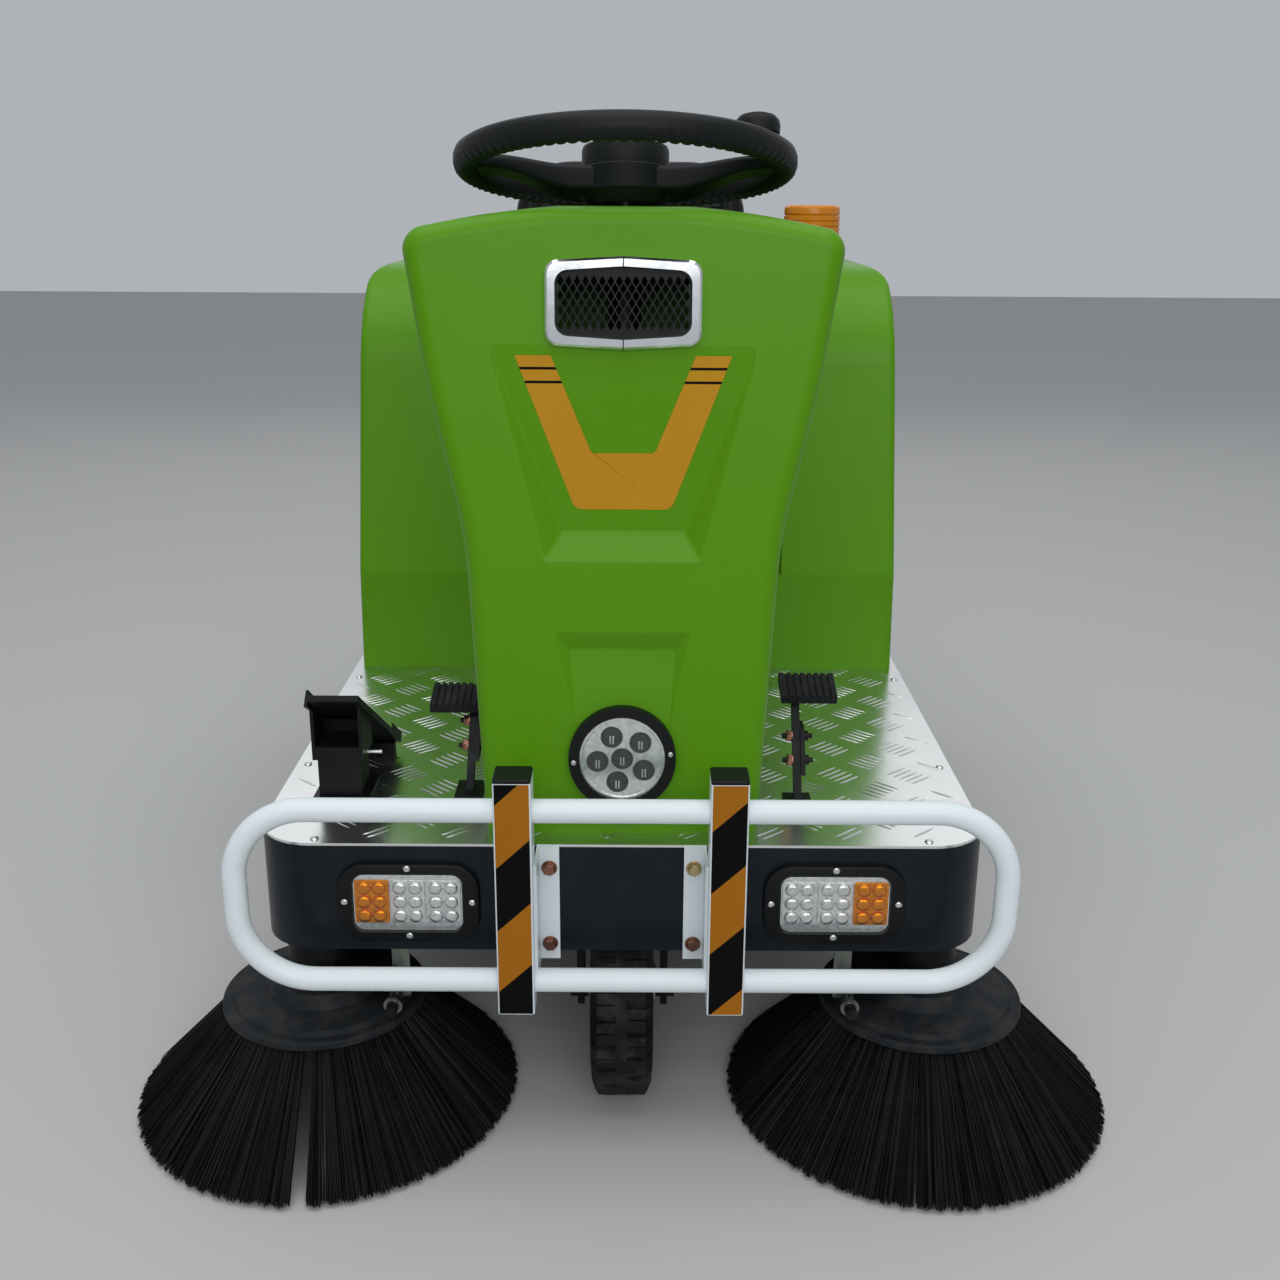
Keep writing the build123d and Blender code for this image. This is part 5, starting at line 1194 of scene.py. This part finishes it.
tyre_piece("front_tyre_tread", "front_tyre", "front_wheel")
tyre_piece("rear_tyre_tread_left", "rear_tyre_left", "rear_wheel_left")
tyre_piece("rear_tyre_tread_right", "rear_tyre_right", "rear_wheel_right")

# %% [markdown]
# A side brush is a moulded disc with some seventy tufts of nylon. Hair particles could make them,
# but the export needs faces, so each strand is a tiny three-sided stick. A tuft is a bundle of
# straight strands that leave one hole together and spread a little towards the floor. One tuft of
# the right brush is left out, which leaves the narrow gap in front.

# %% Side brushes
TUFT_COUNT = 74
STRANDS_PER_TUFT = 125
STRAND_RADIUS = 0.00062
# radius round the disc's axis, and height
TUFT_ROOT = (0.109, 0.129)
TUFT_TIP = (0.2215, 0.0045)
TUFT_WANDER = 0.1
ROOT_SPREAD = 0.0040
TIP_SPREAD = 0.0095
TIP_FLATNESS = 0.8
TIP_STRAY = 0.13
TIP_TRIM = 0.005
GAP_ANGLE = math.radians(-89)


def strand():
    """One three-sided bristle of unit length along Z, cut square."""
    return skin([circle(STRAND_RADIUS * taper, height, 3) for height, taper in ((0, 1), (1, 0.8))])


def turn_to(start, end, roll):
    """The turn that lays the template's Z along a line, and the line's length."""
    line = Vector(end) - Vector(start)
    turn = line.to_track_quat("Z", "Y").to_matrix() @ Matrix.Rotation(roll, 3, "Z")
    return tuple(turn.to_euler()), line.length


def side_brush(name, seed, gap=None):
    dice = random.Random(seed)
    low, high = [Vector(corner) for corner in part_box("brush_disc_" + name)]
    centre = (low + high) / 2
    spots = []
    for tuft in range(TUFT_COUNT):
        angle = math.tau * (tuft + dice.uniform(-TUFT_WANDER, TUFT_WANDER)) / TUFT_COUNT
        if gap is not None and math.cos(angle - gap) > math.cos(math.pi / TUFT_COUNT):
            continue
        out = Vector((math.cos(angle), math.sin(angle), 0))
        aside = Vector((-out.y, out.x, 0))
        for _ in range(STRANDS_PER_TUFT):
            turn = dice.uniform(0, math.tau)
            share = math.sqrt(dice.uniform(0, 1))
            u, v = share * math.cos(turn), share * math.sin(turn)
            root = out * (TUFT_ROOT[0] + ROOT_SPREAD * v) + aside * ROOT_SPREAD * u
            stray = u + dice.gauss(0, TIP_STRAY)
            tip = out * (TUFT_TIP[0] + TIP_SPREAD * TIP_FLATNESS * v) + aside * TIP_SPREAD * stray
            start = (centre.x + root.x, centre.y + root.y, TUFT_ROOT[1])
            end = (centre.x + tip.x, centre.y + tip.y, TUFT_TIP[1] + dice.uniform(0, TIP_TRIM))
            euler, length = turn_to(start, end, dice.uniform(0, math.tau))
            spots.append((start, euler, (1, 1, length)))
    replaced = ("brush_bristles_" + name,)
    scatter("bristles_" + name, strand(), spots, "bristle_black", "side_brush_" + name, replaced)


side_brush("left", 11)
side_brush("right", 12, GAP_ANGLE)

# %% [markdown]
# The seat cushion and the back are foam in a sewn cover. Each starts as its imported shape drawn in
# a little, is blown up as cloth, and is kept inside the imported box. The seams come after that: a
# groove along the border and channels across the middle panel. Grooves made before would be
# blown flat again.

# %% Blowing up a pad
PAD_VOXEL = 0.006
PAD_INSET = 0.007
PAD_CAP = 0.0125
PAD_PRESSURE = 4.0
PAD_FRAMES = 20
PAD_SMOOTHING = 16


def drawn_in(node, inset):
    """A node's shape, welded, and made smaller all round by the inset."""
    low, high = [Vector(corner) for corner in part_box(node)]
    centre, half = (low + high) / 2, (high - low) / 2
    shape = bmesh.new()
    shape.from_mesh(frame["nodes"][node].data)
    bmesh.ops.remove_doubles(shape, verts=shape.verts, dist=1e-5)
    for vertex in shape.verts:
        for axis in range(3):
            vertex.co[axis] = centre[axis] + (vertex.co[axis] - centre[axis]) * (1 - inset / half[axis])
    mesh = bpy.data.meshes.new(node + "_drawn_in")
    shape.to_mesh(mesh)
    shape.free()
    return mesh, low, high


def blown_up(holder, cap):
    """The mesh after twenty frames as cloth under pressure, no point further off than the cap."""
    start = [vertex.co.copy() for vertex in holder.data.vertices]
    cloth = holder.modifiers.new("Cloth", "CLOTH")
    cloth.settings.quality = 4
    cloth.settings.use_pressure = True
    cloth.settings.uniform_pressure_force = PAD_PRESSURE
    cloth.settings.effector_weights.gravity = 0.0
    for number in range(1, PAD_FRAMES + 1):
        scene.frame_set(number)
    swollen = evaluated(holder)
    holder.modifiers.remove(cloth)
    scene.frame_set(1)
    for vertex, place in zip(swollen.vertices, start):
        shift = vertex.co - place
        vertex.co = place + shift * min(1.0, cap / max(shift.length, 1e-9))
    # foam fills the cover, so the folds that the pressure leaves are smoothed out
    shape = bmesh.new()
    shape.from_mesh(swollen)
    every_axis = {"use_axis_x": True, "use_axis_y": True, "use_axis_z": True}
    for _ in range(PAD_SMOOTHING):
        bmesh.ops.smooth_vert(shape, verts=shape.verts, factor=0.5, **every_axis)
    shape.to_mesh(swollen)
    shape.free()
    return swollen


# %% Seams and the two pads
PAD_CROWN = 0.006
PAD_CLEAR = 0.0004
PAD_FACING = 0.5
SEAM_DEPTH = 0.0060
SEAM_WIDTH = 0.0055
CHANNEL_SHARE = 0.8
BORDER = 0.052


def seam_shift(place, channels):
    """How deep the sewn grooves are at a place across and along the panel, from its middle."""
    across, along, half_across, half_along = place
    border = min(half_across - abs(across), half_along - abs(along)) - BORDER
    depth = math.exp(-((border / SEAM_WIDTH) ** 2))
    if border > 0:
        spacing = 2 * (half_along - BORDER) / channels
        number = (along + half_along - BORDER) / spacing
        nearest = abs(number - round(number))
        depth = max(depth, CHANNEL_SHARE * math.exp(-((nearest * spacing / SEAM_WIDTH) ** 2)))
    return SEAM_DEPTH * depth


def padded_seat(name, node, lies_along, channels):
    """One pad; lies_along is the axis that its channels are stacked on, 1 lying and 2 upright."""
    mesh, low, high = drawn_in(node, PAD_INSET)
    holder = bpy.data.objects.new(name + "_start", mesh)
    scene.collection.objects.link(holder)
    remesh = holder.modifiers.new("Remesh", "REMESH")
    remesh.mode = "VOXEL"
    remesh.voxel_size = PAD_VOXEL
    holder.data = evaluated(holder)
    holder.modifiers.remove(remesh)
    holder.data = blown_up(holder, PAD_CAP)
    subdivide = holder.modifiers.new("Smooth", "SUBSURF")
    subdivide.levels = subdivide.render_levels = 1
    final = evaluated(holder)
    bpy.data.objects.remove(holder)
    middle, half = (low + high) / 2, (high - low) / 2
    crown_low, crown_high = low.copy(), high.copy()
    if lies_along == 1:
        crown_high.z += PAD_CROWN
    else:
        crown_low.y -= PAD_CROWN
    normals = [vertex.normal.copy() for vertex in final.vertices]
    for vertex, normal in zip(final.vertices, normals):
        facing = normal.z if lies_along == 1 else -normal.y
        if facing > PAD_FACING:
            across, along = vertex.co.x - middle.x, vertex.co[lies_along] - middle[lies_along]
            vertex.co -= normal * seam_shift((across, along, half.x, half[lies_along]), channels)
        for axis in range(3):
            least, most = crown_low[axis] + PAD_CLEAR, crown_high[axis] - PAD_CLEAR
            vertex.co[axis] = min(max(vertex.co[axis], least), most)
    piece = own(name, final, "seat_vinyl", "seat", (node,), 60.0)


padded_seat("seat_cushion_padded", "seat_cushion", 1, 4)
padded_seat("seat_back_padded", "seat_back", 2, 5)
